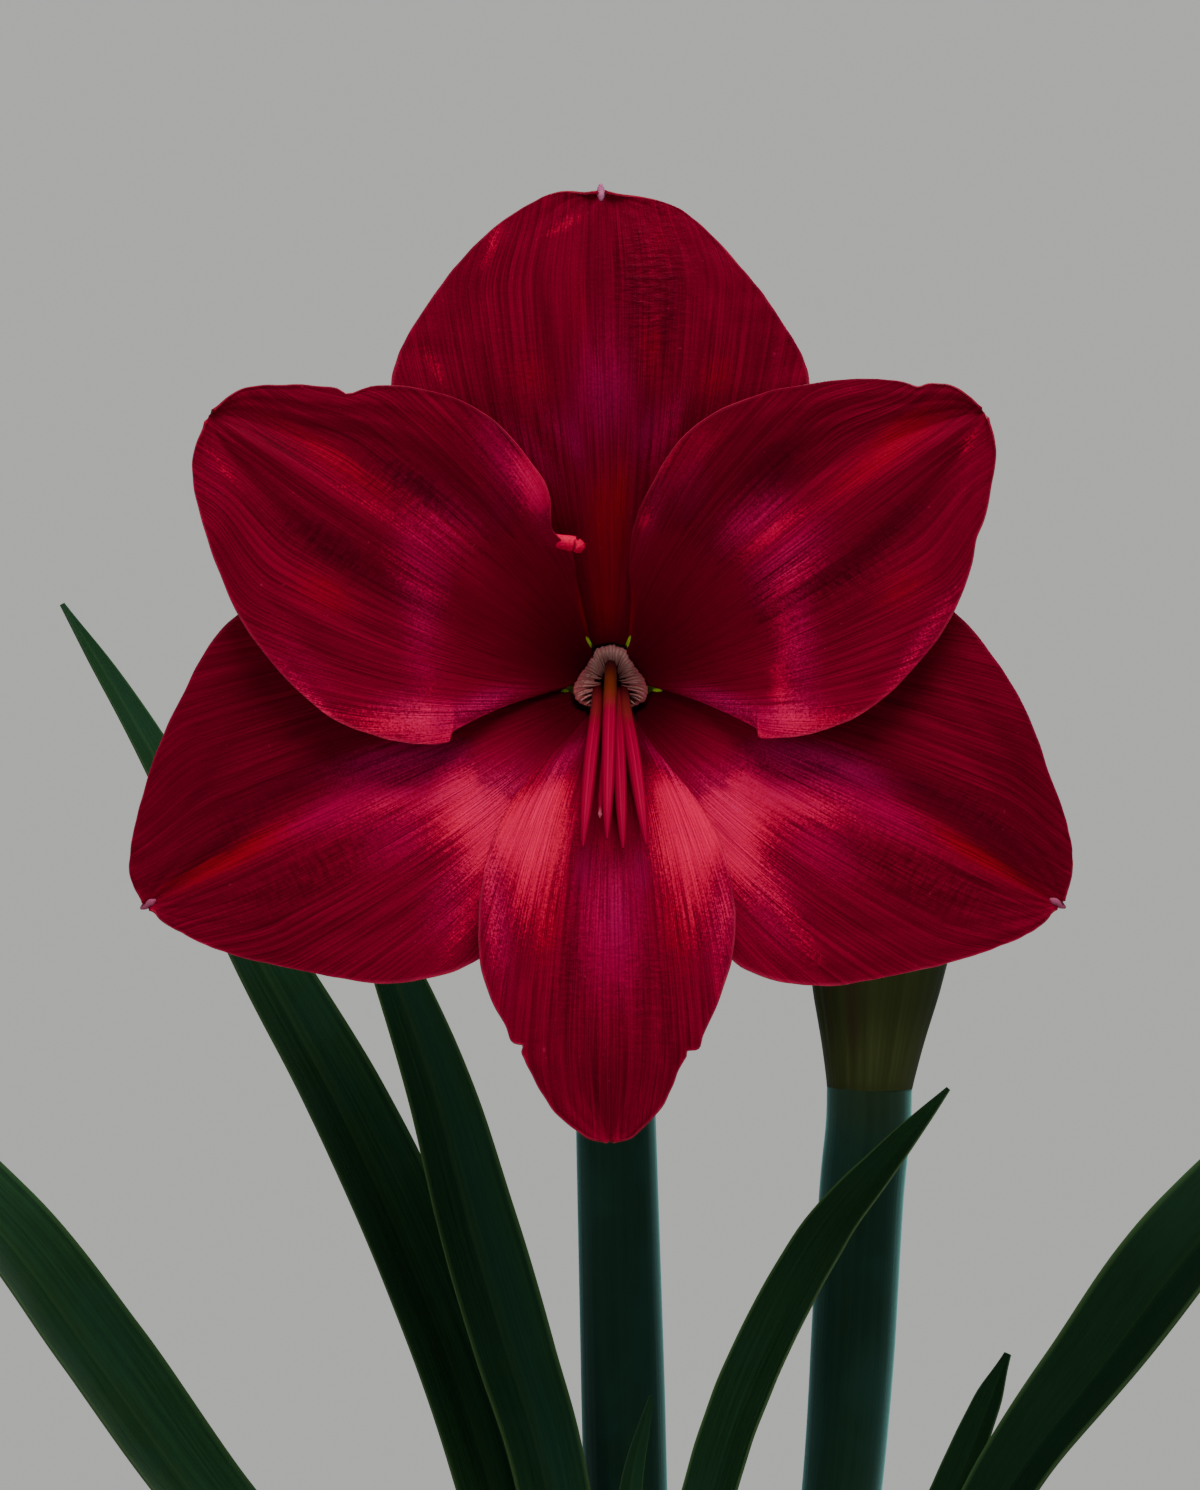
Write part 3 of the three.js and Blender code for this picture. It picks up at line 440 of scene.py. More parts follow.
def petal_material(look):
    """Satin crimson skin. Marks on the piece say where it turns scarlet, magenta, purple, pink or dark. Much of
    this is painted light and shade: highlights and sheen in blaze, pink and mauve, highlights on the midribs in
    scarlet, and shade in hollows, creases, the deep throat and under the upper tepals. Streaks along the veins
    and a fine glitter of cells break up the borders between them."""
    material, tree, shader, uv, place = new_material("petal", specular=0.14, gloss_tint=(1.0, 0.05, 0.13, 1),
                                                     subsurface=0.08)
    fibre = placed(tree, fibres_group(), Place=uv, Pitch=24.0)
    fine = placed(tree, fibres_group(), Place=uv, Pitch=75.0)
    grain = placed(tree, grains_group(), Place=place, Scale=2000.0)
    crimp = placed(tree, crimps_group(), Place=uv, Pitch=9.0)["Crimps"]
    streak = ramp(tree, fibre["Streaks"], 0.34, 0.66)
    thread = maths(tree, "SUBTRACT", fine["Streaks"], 0.5)
    fleck = plus(tree, maths(tree, "SUBTRACT", grain["Cells"], 0.5), times(tree, thread, 0.8))

    def broken(name, amount, low, high):
        """A mark whose border is broken into threads and cells by the given amount."""
        value = plus(tree, mark(tree, name), times(tree, fleck, amount))
        return times(tree, ramp(tree, value, low, high), ramp(tree, mark(tree, name), 0.0, 0.12))

    # Painted shade: the shade mark darkens hollows, and the crimps of the wrinkle mark darken creases.
    dark = times(tree, mark(tree, "shade"), plus(tree, 0.35, times(tree, streak, 0.55)))
    dark = plus(tree, dark, times(tree, mark(tree, "wrinkle"), ramp(tree, crimp, 0.42, 0.62, 0.0, 0.5)))
    flap = times(tree, ramp(tree, mark(tree, "flap"), -0.15, 0.15), mark(tree, "lobe"))
    border = maths(tree, "SUBTRACT", mark(tree, "deep"), flap)
    border = plus(tree, border, times(tree, maths(tree, "SUBTRACT", streak, 0.5), 0.35))
    border = plus(tree, border, times(tree, fleck, 0.8))
    # Painted highlight: on one side of a fold's line the lobe turns pink, with a crisp edge along the fold.
    lobe = times(tree, flap, ramp(tree, fleck, -0.35, 0.3, 0.25, 0.95))
    # Painted sheen: the glitter of the frosted cells, in mauve.
    sheen_frost = times(tree, mark(tree, "mauve"), ramp(tree, fleck, -0.16, 0.2, 0.1, 1.0))
    # Core darkens the innermost throat: partly its own dark red, partly painted shade of the deep funnel.
    core = times(tree, mark(tree, "core"), ramp(tree, fibre["Streaks"], 0.3, 0.7, 0.55, 1.0))
    lines = times(tree, ramp(tree, fine["Streaks"], 0.34, 0.52, 0.42, 0.0),
                  ramp(tree, mark(tree, "light"), 0.2, 0.8, 1.0, 0.35))
    vein = times(tree, maths(tree, "MAXIMUM", fibre["Lines"], times(tree, fine["Lines"], 0.75)),
                 mark(tree, "veins"))
    freckle = ramp(tree, grain["Flecks"], 0.78, 0.81, 0.0, 0.16)
    # The light mark lays painted highlights in blaze and pink. Maroon over dark and core is painted shade; over lines
    # and veins it is the tepals' own colour.
    colour = layered(tree, look, opaque(look.crimson), (times(tree, streak, 0.8), "ruby"),
                     (broken("scarlet", 0.7, 0.1, 0.9), "scarlet"), (broken("magenta", 1.0, 0.1, 0.95), "magenta"),
                     (broken("purple", 0.6, 0.05, 0.95), "purple"), (broken("light", 1.2, 0.02, 0.62), "blaze"),
                     (broken("light", 1.5, 0.25, 1.1), "pink"), (maths(tree, "MINIMUM", dark, 0.92), "maroon"),
                     (ramp(tree, border, 0.3, 0.75, 0.0, 0.95), "throat"), (lobe, "pink"), (sheen_frost, "mauve"),
                     (core, "maroon"), (lines, "maroon"), (vein, "maroon"),
                     (times(tree, freckle, ramp(tree, mark(tree, "core"), 0.0, 0.2, 1.0, 0.0)), "margin"),
                     ("pale", "margin"), (ramp(tree, mark(tree, "green"), 0.35, 0.6), "tube_green"),
                     ("horn", "horn"), ("reverse", "reverse"))
    rough = ramp(tree, plus(tree, grain["Cells"], mark(tree, "light")), 0.2, 1.2, 0.52, 0.4)
    height = plus(tree, times(tree, fibre["Streaks"], 0.8), times(tree, fine["Streaks"], 0.5))
    height = plus(tree, height, times(tree, grain["Cells"], 0.3))
    ridge = plus(tree, 0.2, times(tree, mark(tree, "wrinkle"), 1.8))
    height = plus(tree, height, times(tree, crimp, ridge))
    finish_material(tree, shader, colour, height, rough, strength=0.6, distance=0.0007)
    return material


def corona_material(look):
    """Brownish-pink collar with a rosy rim. The rib mark is painted light and shade: paler on the ribs and the top
    of the collar, darker between the ribs.
    """
    material, tree, shader, _, place = new_material("corona", roughness=0.6, specular=0.2, subsurface=0.1)
    grain = placed(tree, grains_group(), Place=place, Scale=2600.0)
    colour = layered(tree, look, opaque(look.corona_shade), (ramp(tree, mark(tree, "rib"), 0.1, 0.9), "corona"),
                     (times(tree, mark(tree, "blush"), ramp(tree, grain["Cells"], 0.3, 0.7, 0.6, 1.0)), "corona_rose"),
                     (times(tree, ramp(tree, grain["Cells"], 0.5, 0.8), 0.3), "margin"))
    finish_material(tree, shader, colour, grain["Cells"], strength=0.3)
    return material


def filament_material(look):
    """Crimson filaments, orange-brown where they leave the tube, darkened inside it as painted shade, with a pale
    stigma.
    """
    material, tree, shader, uv, _ = new_material("filament", roughness=0.45, specular=0.1,
                                                 gloss_tint=(1.0, 0.06, 0.14, 1), subsurface=0.1)
    fibre = placed(tree, fibres_group(), Place=uv, Pitch=12.0)
    colour = layered(tree, look, opaque(look.filament_dark), (ramp(tree, fibre["Streaks"], 0.35, 0.65), "filament"),
                     ("rust", "rust"), ("deep", "maroon"), ("pale", "stigma"))
    finish_material(tree, shader, colour, fibre["Streaks"], strength=0.3)
    return material


def leaf_material(look):
    """Deep green strap leaf: parallel veins, a faint keel line and thin light margins, the margins a painted
    highlight; the deep mark darkens whole leaves as painted shade.
    """
    material, tree, shader, uv, place = new_material("leaf", specular=0.1, gloss_tint=(0.35, 1.0, 0.55, 1))
    fibre = placed(tree, fibres_group(), Place=uv, Pitch=22.0)
    fine = placed(tree, fibres_group(), Place=uv, Pitch=60.0)
    grain = placed(tree, grains_group(), Place=place, Scale=1200.0)
    colour = layered(tree, look, opaque(look.leaf_dark), (ramp(tree, fibre["Streaks"], 0.3, 0.7), "leaf"),
                     (times(tree, ramp(tree, grain["Clouds"], 0.45, 0.7), 0.25), "leaf_blue"),
                     (times(tree, fine["Lines"], 0.1), "leaf_line"), ("blue", "leaf_blue"),
                     ("deep", "leaf_painted_shade"), ("line", "leaf_line"), ("base", "leaf_base"))
    rough = ramp(tree, grain["Clouds"], 0.3, 0.7, 0.38, 0.5)
    height = plus(tree, fibre["Streaks"], times(tree, fine["Streaks"], 0.6))
    finish_material(tree, shader, colour, height, rough, strength=0.5, distance=0.0005)
    return material


def stem_material(plant, flower):
    """Smooth stems under a blue-grey bloom, with faint upright streaks; red where the flower's tube begins."""
    material, tree, shader, uv, place = new_material("stem", specular=0.12, gloss_tint=(0.3, 0.9, 0.6, 1), sheen=0.55,
                                                     sheen_tint=(0.3, 0.85, 0.8, 1))
    fibre = placed(tree, fibres_group(), Place=uv, Pitch=16.0)
    grain = placed(tree, grains_group(), Place=place, Scale=900.0)
    colour = layered(tree, plant, opaque(plant.stem_dark), (ramp(tree, fibre["Streaks"], 0.3, 0.7), "stem"),
                     (times(tree, ramp(tree, grain["Clouds"], 0.42, 0.66), 0.5), "bloom"), ("olive", "bud"))
    colour = layered(tree, flower, colour, ("red", "reverse"), ("gap", "tube_green"), ("dark", "maroon"))
    rough = ramp(tree, grain["Cells"], 0.2, 0.8, 0.42, 0.58)
    finish_material(tree, shader, colour, fibre["Streaks"], rough, strength=0.35)
    return material


def bud_material(look):
    """Olive spathe with brownish stripes, ribbed lengthwise, and painted shade above its foot."""
    material, tree, shader, uv, place = new_material("bud", specular=0.12, gloss_tint=(0.8, 1.0, 0.4, 1))
    fibre = placed(tree, fibres_group(), Place=uv, Pitch=18.0)
    grain = placed(tree, grains_group(), Place=place, Scale=900.0)
    colour = layered(tree, look, opaque(look.bud_shade), (ramp(tree, fibre["Streaks"], 0.35, 0.65), "bud"),
                     (times(tree, fibre["Lines"], 0.12), "leaf_line"), ("dusk", "bud_dark"),
                     ("brown", "bud_brown"), ("line", "bud_shade"))
    rough = ramp(tree, grain["Clouds"], 0.3, 0.7, 0.42, 0.58)
    finish_material(tree, shader, colour, fibre["Streaks"], rough, strength=0.45)
    return material


def papery_material(name, look, light, dark, pitch):
    """Dry papery skin: upright fibres, stains and thin paler edges. light and dark name two of the look's
    colours."""
    material, tree, shader, uv, place = new_material(name, specular=0.3, sheen=0.15)
    fibre = placed(tree, fibres_group(), Place=uv, Pitch=pitch)
    fine = placed(tree, fibres_group(), Place=uv, Pitch=pitch * 3)
    grain = placed(tree, grains_group(), Place=place, Scale=420.0)
    colour = layered(tree, look, opaque(getattr(look, dark)), (ramp(tree, fibre["Streaks"], 0.32, 0.68), light),
                     (times(tree, fine["Lines"], 0.45), dark),
                     (ramp(tree, grain["Clouds"], 0.5, 0.72, 0.0, 0.6), "stain"), ("pale", "skin_pale"),
                     ("green", "leaf_base"))
    rough = ramp(tree, fibre["Streaks"], 0.3, 0.7, 0.62, 0.45)
    height = plus(tree, fibre["Streaks"], times(tree, fine["Streaks"], 0.6))
    finish_material(tree, shader, colour, height, rough, strength=0.7, distance=0.0008)
    return material


def clay_material(look):
    """Fired clay: turning lines, mottled body, a chalky bloom and a darker damp foot."""
    material, tree, shader, uv, place = new_material("clay", specular=0.25)
    grain = placed(tree, grains_group(), Place=place, Scale=900.0)
    rings = noise(tree, stretched(tree, uv, 0.6, 60.0), 3.0, 3.0)
    blotch = noise(tree, place, 22.0, 6.0, 0.62)
    chalk = times(tree, ramp(tree, blotch, 0.52, 0.7), ramp(tree, grain["Cells"], 0.3, 0.7, 0.4, 1.0))
    colour = layered(tree, look, opaque(look.clay_dark), (ramp(tree, grain["Clouds"], 0.35, 0.65), "clay"),
                     (times(tree, ramp(tree, rings, 0.4, 0.7), 0.25), "clay_dark"),
                     (times(tree, chalk, 0.55), "chalk"),
                     (times(tree, mark(tree, "damp"), 0.5), "clay_damp"))
    height = plus(tree, times(tree, rings, 0.8), times(tree, grain["Cells"], 0.5))
    rough = ramp(tree, chalk, 0.0, 0.6, 0.72, 0.9)
    finish_material(tree, shader, colour, height, rough, strength=0.5, distance=0.0006)
    return material


def soil_material(look):
    """Dark fibrous mix."""
    material, tree, shader, _, place = new_material("potting_mix", roughness=0.95, specular=0.15)
    grain = placed(tree, grains_group(), Place=place, Scale=700.0)
    colour = layered(tree, look, opaque(look.soil_dark), (ramp(tree, grain["Cells"], 0.35, 0.7), "soil"),
                     (times(tree, ramp(tree, mark(tree, "bark"), 0.2, 0.8), 0.9), "bark"),
                     (ramp(tree, mark(tree, "grit"), 0.2, 0.8), "grit"))
    finish_material(tree, shader, colour, grain["Cells"], strength=0.8, distance=0.0015)
    return material


def root_material(look):
    """Fleshy cream roots with a corky, ringed skin."""
    material, tree, shader, _, place = new_material("root", roughness=0.7, subsurface=0.05)
    grain = placed(tree, grains_group(), Place=place, Scale=500.0)
    colour = layered(tree, look, opaque(look.root_dark), (ramp(tree, grain["Clouds"], 0.35, 0.65), "root"))
    finish_material(tree, shader, colour, grain["Cells"], strength=0.5, distance=0.0006)
    return material


# Tepals. Each is spanned by three rails in the flower's face plane, right of the throat and up: the edge
# on the left looking outwards, the midrib, and the edge on the right. A nick is [side, place along, width,
# depth]. Marks are long soft spots in the same plane: [right, up, half length, half width, slant in
# degrees, strength]. zone is the reach of the dark throat.
# Marks that paint light: light (highlights), mauve (sheen), scarlet in part (midribs). Marks that paint shade: shade,
# wrinkle, core and purple in part.
TEPALS = {
    "tepal_top": {
        "inner": False, "reach": 100.0, "zone": 9.0, "core": (0.1, 20), "horn": 0.85,
        "left": [[-3.7, 7.8], [-14.1, 15.2], [-30.4, 29.3], [-43, 46.7], [-47.6, 63.9], [-41.5, 79.3], [-28.3, 95.7],
                 [-14.1, 105.4], [-2.8, 106.1]],
        "middle": [[0, 8.7], [-1, 60], [-2, 106.7]],
        "right": [[3.7, 7.8], [13.5, 15.2], [28.3, 29.3], [40.2, 46.7], [43.3, 64.6], [38, 77.2], [28.3, 90],
                  [15.2, 102.6], [-0.7, 106.1]],
        "nicks": [[-1, 0.955, 0.02, 0.9], [1, 0.965, 0.015, 0.6]],
        # The last two scarlet spots are painted light over this tepal's shaded base.
        "scarlet": [[9, 72, 10, 3.5, 88, 0.5], [11, 96, 7, 4, 88, 0.35], [-7, 84, 13, 3, 92, 0.35],
                    [23, 66, 8, 6, 60, 0.45], [-17, 66, 8, 6, 120, 0.4], [3, 45, 12, 2, 86, 0.35],
                    [-1, 34, 14, 5, 90, 0.75], [-1, 16, 10, 4, 90, 0.6]],
        "magenta": [[-17, 50, 12, 3.5, 128, 0.6], [12, 54, 11, 3, 68, 0.55], [-38, 66, 14, 4, 65, 0.25],
                    [36, 70, 14, 4, 118, 0.2], [-10, 100, 9, 3, 20, 0.25]],
        "purple": [[-1, 62, 12, 8, 90, 0.62], [-8, 52, 8, 2.5, 112, 0.4], [8, 54, 8, 2.5, 66, 0.4]],
        "light": [[-26, 94, 5, 1.2, 70, 0.3], [-39, 69, 5, 1.2, 120, 0.35], [-10, 99, 4, 1, 30, 0.35]],
        "shade": [[-33, 84, 12, 4, 70, 0.5], [-13, 74, 14, 2, 100, 0.55], [13, 80, 14, 1.8, 84, 0.6],
                  [5, 84, 14, 1.2, 90, 0.5], [20, 90, 9, 3, 75, 0.4], [31, 80, 9, 4, 118, 0.45],
                  [-3, 90, 14, 2, 92, 0.45], [-24, 62, 10, 2, 118, 0.35], [0, 82, 18, 16, 90, 0.3]],
        "deep": [[-1, 36, 16, 6.5, 90, 0.42], [-1, 20, 12, 6, 90, 0.3]],
        "wrinkle": [[9, 87, 16, 7, 88, 1.0], [-20, 70, 10, 5, 110, 0.3]],
        "mauve": [[-1, 66, 12, 6, 90, 0.22], [-12, 55, 8, 2, 125, 0.2], [13, 57, 8, 2, 60, 0.2]],
    },
    "tepal_upper_left": {
        "inner": True, "reach": 88.0, "zone": 40.0, "core": (0.6, 28),
        "left": [[-7.8, -0.9], [-22.4, -5.4], [-33.9, -10.9], [-36, -13.6], [-47.8, -12.8], [-62.8, -6.7],
                 [-78.3, 10.2], [-87.2, 29.6], [-90.9, 45.7], [-88, 56]],
        "middle": [[-5.7, 2.8], [-46, 31], [-87.2, 57.6]],
        "right": [[-3.9, 6.5], [-7, 20.7], [-8.5, 28.5], [-12.5, 33], [-14.3, 43], [-26.5, 57.6], [-43, 63.7],
                  [-63.5, 63.5], [-78.3, 63.9], [-86.4, 58.7]],
        "nicks": [[1, 0.735, 0.013, 1.8], [1, 0.80, 0.035, -0.9]],
        "scarlet": [[-58, 47, 24, 3.6, 148, 0.6], [-62, 19, 10, 6, 150, 0.5], [-24, 13, 9, 5, 150, 0.3],
                    [-38, 56, 12, 4, 160, 0.3], [-35, 34, 12, 5, 145, 0.45], [-6, 15, 8, 0.9, 103, 0.9]],
        "magenta": [[-40, 26, 12, 6, 125, 0.55], [-41, 6, 13, 6, 95, 0.5], [-34, 37, 11, 4, 140, 0.55],
                    [-23, 48, 13, 6, 125, 0.5], [-66, 4, 14, 3, 132, 0.35], [-86, 44, 12, 3, 100, 0.25]],
        "purple": [[-24, 36, 8, 4, 120, 0.25], [-28, -4, 8, 2.5, 20, 0.7]],
        "light": [[-64, -5, 12, 1.2, 132, 0.3], [-46, -9.5, 11, 3.0, 175, 0.55], [-37.5, -6, 6.5, 3, 92, 0.5],
                  [-42, 22, 10, 2.5, 140, 0.25], [-16.2, 43, 8, 3.2, 115, 0.95], [-15, 33, 5, 2.6, 120, 0.9],
                  [-84, 46, 5, 1, 130, 0.3], [-52, 38, 14, 1.5, 148, 0.2]],
        "shade": [[-42, 42, 13, 4.5, 146, 0.9], [-61, 30, 17, 4.2, 149, 0.9], [-40, 17, 12, 1.2, 165, 0.35],
                  [-74, 52, 9, 2, 150, 0.4], [-33.6, -7, 2.6, 0.8, 90, 0.8], [-80, 22, 14, 4, 110, 0.4],
                  [-64, 8, 10, 4, 135, 0.35], [-55, 56, 10, 2.5, 165, 0.3]],
        "wrinkle": [[-42, 41, 12, 5, 146, 1.0], [-61, 29, 16, 5, 149, 0.7], [-58, 45, 20, 4, 148, 0.3]],
        "fold": (-34.3, -3.0, 1),
        "mauve": [[-41, -8.5, 9, 4, 172, 0.8], [-28, -5, 8, 2.6, 18, 1.0], [-41, 18, 16, 4, 100, 0.4],
                  [-37, 33, 8, 3, 140, 0.4], [-18, 43, 12, 3.5, 120, 0.7], [-66, -3, 12, 2, 130, 0.35]],
        "clear": [[-27, -5.2, 8, 2.6, 18, 1.0], [-6, 15, 8, 0.8, 103, 0.8]],
    },
    "tepal_upper_right": {
        "inner": True, "reach": 84.0, "zone": 36.0, "core": (0.55, 28),
        "left": [[3.7, 6.5], [4.6, 17.4], [4.1, 26.1], [6.5, 37.4], [16.1, 53.3], [31.7, 62], [50.2, 65.4],
                 [64.3, 65], [75, 63.5], [80.6, 59.3]],
        "middle": [[5.9, 2.8], [43, 32], [81.3, 58.3]],
        "right": [[7.8, -0.9], [19.6, -4.6], [31.2, -10], [33.4, -12.5], [44.8, -11.3], [58.9, -4.3], [72.6, 11.1],
                  [80, 29.6], [83.7, 47.8], [82.2, 57]],
        "nicks": [[-1, 0.80, 0.016, 0.9], [-1, 0.86, 0.03, -0.5], [1, 0.78, 0.02, 0.8]],
        "scarlet": [[60, 49, 22, 4.2, 35, 0.55], [63, 20, 9, 5.5, 35, 0.45], [24, 13, 9, 5, 40, 0.25],
                    [30, 40, 10, 3, 45, 0.3], [20, 51, 10, 5, 52, 0.45], [63, 56, 10, 3, 30, 0.35],
                    [4.6, 15, 8, 0.9, 87, 0.9]],
        "magenta": [[38, 29, 12, 6, 38, 0.6], [41, 10, 13, 5, 95, 0.5], [17, 46, 12, 4, 60, 0.45],
                    [30, 36, 9, 5, 40, 0.6], [68, 8, 14, 3, 55, 0.3], [77, 42, 12, 3, 75, 0.2]],
        "purple": [[18, 40, 9, 4, 70, 0.3], [24, -4, 8, 2.4, 162, 0.6]],
        "light": [[35, 31.5, 8, 2.2, 36, 0.42], [40, 23, 7, 3, 40, 0.4], [38, 11, 8, 3, 95, 0.3],
                  [36.5, -1, 7, 3, 100, 0.45], [42, -9, 10, 2.4, 8, 0.55], [68, 9, 14, 1.2, 57, 0.25],
                  [7, 32, 5, 1.4, 80, 0.85], [12, 48, 9, 1.4, 52, 0.3], [78, 52, 3, 1.2, 60, 0.3]],
        "shade": [[36, 46, 12, 5.5, 48, 0.95], [62, 34, 14, 3.8, 40, 0.9], [48, 22, 9, 1.8, 22, 0.7],
                  [70, 58, 8, 2, 30, 0.35], [31.6, -7, 2.4, 0.8, 90, 0.7], [74, 26, 12, 4, 70, 0.4],
                  [52, 12, 10, 3, 50, 0.35], [50, 60, 10, 2, 20, 0.3]],
        "wrinkle": [[36, 46, 10, 5, 48, 0.5], [50, 22, 10, 5, 25, 0.8], [62, 34, 13, 4, 40, 0.4]],
        "fold": (32.3, -4.0, -1),
        "mauve": [[38, -8, 8, 4, 8, 0.65], [25, -5, 8, 2.6, 162, 1.0], [40, 8, 12, 4, 95, 0.5],
                  [39, 25, 9, 4, 40, 0.7], [31, 35, 8, 4, 40, 0.45], [9, 36, 8, 2, 75, 0.4], [68, 9, 12, 2, 57, 0.3]],
        "clear": [[24, -4.8, 7, 2.6, 162, 1.0], [4.6, 15, 8, 0.8, 87, 0.8]],
    },
    "tepal_lower_left": {
        "inner": False, "reach": 104.0, "zone": 35.0, "core": (1.15, 34),
        "left": [[-5, -6.7], [-7.6, -23.9], [-14.1, -43.5], [-28.3, -60.4], [-46.5, -65.7], [-66.3, -63.3],
                 [-84.6, -58.7], [-94.6, -54.1], [-100, -49.8]],
        "middle": [[-7.2, -5.2], [-58.7, -24.3], [-100.9, -48.9]],
        "right": [[-8.3, -3], [-19.6, 8.7], [-37, 19.6], [-58.7, 22.8], [-80.9, 14.3], [-93.5, -3.3], [-101.7, -25.4],
                  [-104.6, -40.2], [-101.5, -48.3]],
        "nicks": [[1, 0.62, 0.03, 0.4], [-1, 0.97, 0.02, 0.5]],
        "scarlet": [[-80, -37, 20, 3, 27, 1.0], [-60, -40, 18, 6, 30, 0.35], [-84, -2, 14, 4, 40, 0.2]],
        "magenta": [[-58, -27, 16, 3.5, 26, 0.95], [-46, -33, 14, 8, 30, 0.6], [-32, -48, 14, 8, 60, 0.45],
                    [-45, -17, 14, 4, 8, 0.95]],
        # Purple here is painted shadow under the upper left tepal's edge.
        "purple": [[-47, -17, 13, 3, 8, 0.8], [-36, -16, 5, 3, 0, 0.5]],
        "light": [[-30, -29, 9, 7, 30, 0.8], [-42, -24.5, 13, 4, 14, 0.75], [-26, -37, 10, 5, 62, 0.62],
                  [-31, -52, 10, 2.4, 62, 0.2]],
        "shade": [[-73, -23, 18, 3.4, 26, 0.75], [-88, -38, 12, 2.4, 28, 0.8], [-58, -15, 12, 2, 12, 0.2],
                  [-66, -44, 16, 4, 25, 0.5], [-78, 0, 16, 4, 35, 0.4], [-88, -18, 16, 6, 50, 0.5],
                  [-60, -54, 20, 3, 20, 0.3]],
        "wrinkle": [[-64, -40, 20, 6, 27, 0.8], [-78, -30, 12, 4, 27, 0.5]],
        "mauve": [[-42, -23.5, 13, 5, 12, 1.0], [-46, -17.5, 12, 3, 10, 0.75], [-25, -24, 8, 4, 40, 0.6],
                  [-30, -38, 16, 4, 60, 0.3]],
    },
    "tepal_lower_right": {
        "inner": False, "reach": 102.0, "zone": 33.0, "core": (1.1, 32),
        "left": [[8.7, -3], [19.6, 8.7], [37, 19.6], [58.7, 22.8], [75, 14.8], [89.1, -3.7], [98, -27],
                 [100.7, -39.1], [98.7, -47.8]],
        "middle": [[7.6, -5.2], [54.3, -23.9], [97.8, -48.7]],
        "right": [[5.7, -6.7], [8.7, -23.9], [15.2, -43.5], [27.2, -61.3], [44.8, -66.3], [63, -63.9], [79.3, -59.6],
                  [91.5, -54.8], [97, -49.6]],
        "nicks": [[-1, 0.7, 0.03, 0.4], [1, 0.97, 0.02, 0.5]],
        "scarlet": [[80, -38, 18, 3, 150, 0.8], [62, -42, 18, 6, 152, 0.3], [80, -12, 14, 5, 140, 0.15]],
        "magenta": [[58, -28, 14, 4, 152, 0.9], [46, -36, 14, 7, 148, 0.6], [34, -48, 14, 8, 120, 0.4],
                    [42, -17, 14, 4, 172, 0.95]],
        # Purple here is painted shadow under the upper right tepal's edge.
        "purple": [[50, -19, 13, 3.4, 160, 0.9], [40, -16, 8, 2.6, 175, 0.6]],
        "light": [[26, -31, 9, 7, 150, 1.0], [38, -25, 13, 4.4, 165, 0.85], [27, -39, 9, 4, 125, 0.6],
                  [38, -50, 14, 2.2, 122, 0.25]],
        "shade": [[77, -28, 18, 4, 148, 0.8], [88, -38, 10, 3, 145, 0.6], [66, -22, 8, 3, 150, 0.5],
                  [66, -46, 15, 4, 155, 0.5], [88, -18, 16, 7, 115, 0.5], [60, -55, 20, 3, 160, 0.3],
                  [58, -30, 8, 2, 150, 0.25]],
        "wrinkle": [[68, -42, 20, 6, 152, 0.9], [80, -28, 12, 5, 148, 0.5]],
        "mauve": [[39, -23, 13, 5, 168, 1.0], [44, -17.5, 11, 3, 168, 0.75], [24, -26, 8, 4, 140, 0.6],
                  [30, -40, 16, 4, 122, 0.3]],
    },
    "tepal_bottom": {
        "inner": True, "reach": 96.0, "zone": 12.0, "core": (0.8, 28),
        "left": [[4.3, -6.8], [11.5, -17], [18.3, -25.2], [23.5, -34.1], [26.7, -46.1], [27.2, -56.5], [24.3, -67.4],
                 [19.6, -78.3], [15.2, -83.9], [11.6, -92.2], [5.4, -98.8], [0.6, -100.3]],
        "middle": [[0.2, -7.3], [0, -50], [0, -100.4]],
        "right": [[-3.9, -6.8], [-10.2, -13.5], [-18.5, -22.2], [-24.3, -31.5], [-27.8, -43.5], [-28.7, -57.4],
                  [-26.3, -68], [-21.1, -77.8], [-17.6, -84.3], [-12.4, -93.4], [-5.6, -99], [-0.6, -100.3]],
        "nicks": [[1, 0.664, 0.011, 1.3], [1, 0.636, 0.018, -0.8], [-1, 0.677, 0.011, 1.0], [-1, 0.65, 0.018, -0.8]],
        "scarlet": [[-14, -50, 14, 5, 90, 0.6], [15, -52, 14, 5, 90, 0.55], [0, -74, 16, 8, 90, 0.25]],
        "magenta": [[0, -52, 16, 7, 90, 0.6], [-10, -17, 9, 1.6, 40, 0.7], [11, -17, 9, 1.6, 140, 0.7],
                    [0, -66, 18, 12, 90, 0.25]],
        "purple": [[-6, -41, 6, 2.2, 85, 0.55], [7, -41, 6, 2.2, 95, 0.55], [2, -52, 12, 4, 90, 0.6]],
        "light": [[-16, -33, 10, 6.5, 72, 0.9], [16, -33, 11, 6.5, 105, 0.95], [-21, -32, 7, 3, 60, 0.7],
                  [21, -33, 7, 3, 120, 0.6], [-13, -25, 5, 2.5, 50, 0.5], [13, -25, 5, 2.5, 130, 0.5],
                  [-26, -50, 14, 1.4, 95, 0.3], [25, -50, 14, 1.4, 85, 0.3], [-17, -46, 10, 5, 90, 0.45],
                  [18, -47, 10, 5, 90, 0.4]],
        "shade": [[0, -40, 6, 4, 90, 0.5], [6.8, -17, 7, 2.6, 100, 0.95], [-3, -84, 8, 6, 90, 0.15],
                  [-9, -60, 8, 1, 90, 0.4], [9, -62, 10, 1, 90, 0.3]],
        "deep": [[0, -18, 12, 4, 90, 1.0], [0, -32, 9, 5, 90, 0.75]],
        "wrinkle": [[-8, -60, 14, 6, 90, 0.5], [8, -66, 16, 8, 90, 0.5]],
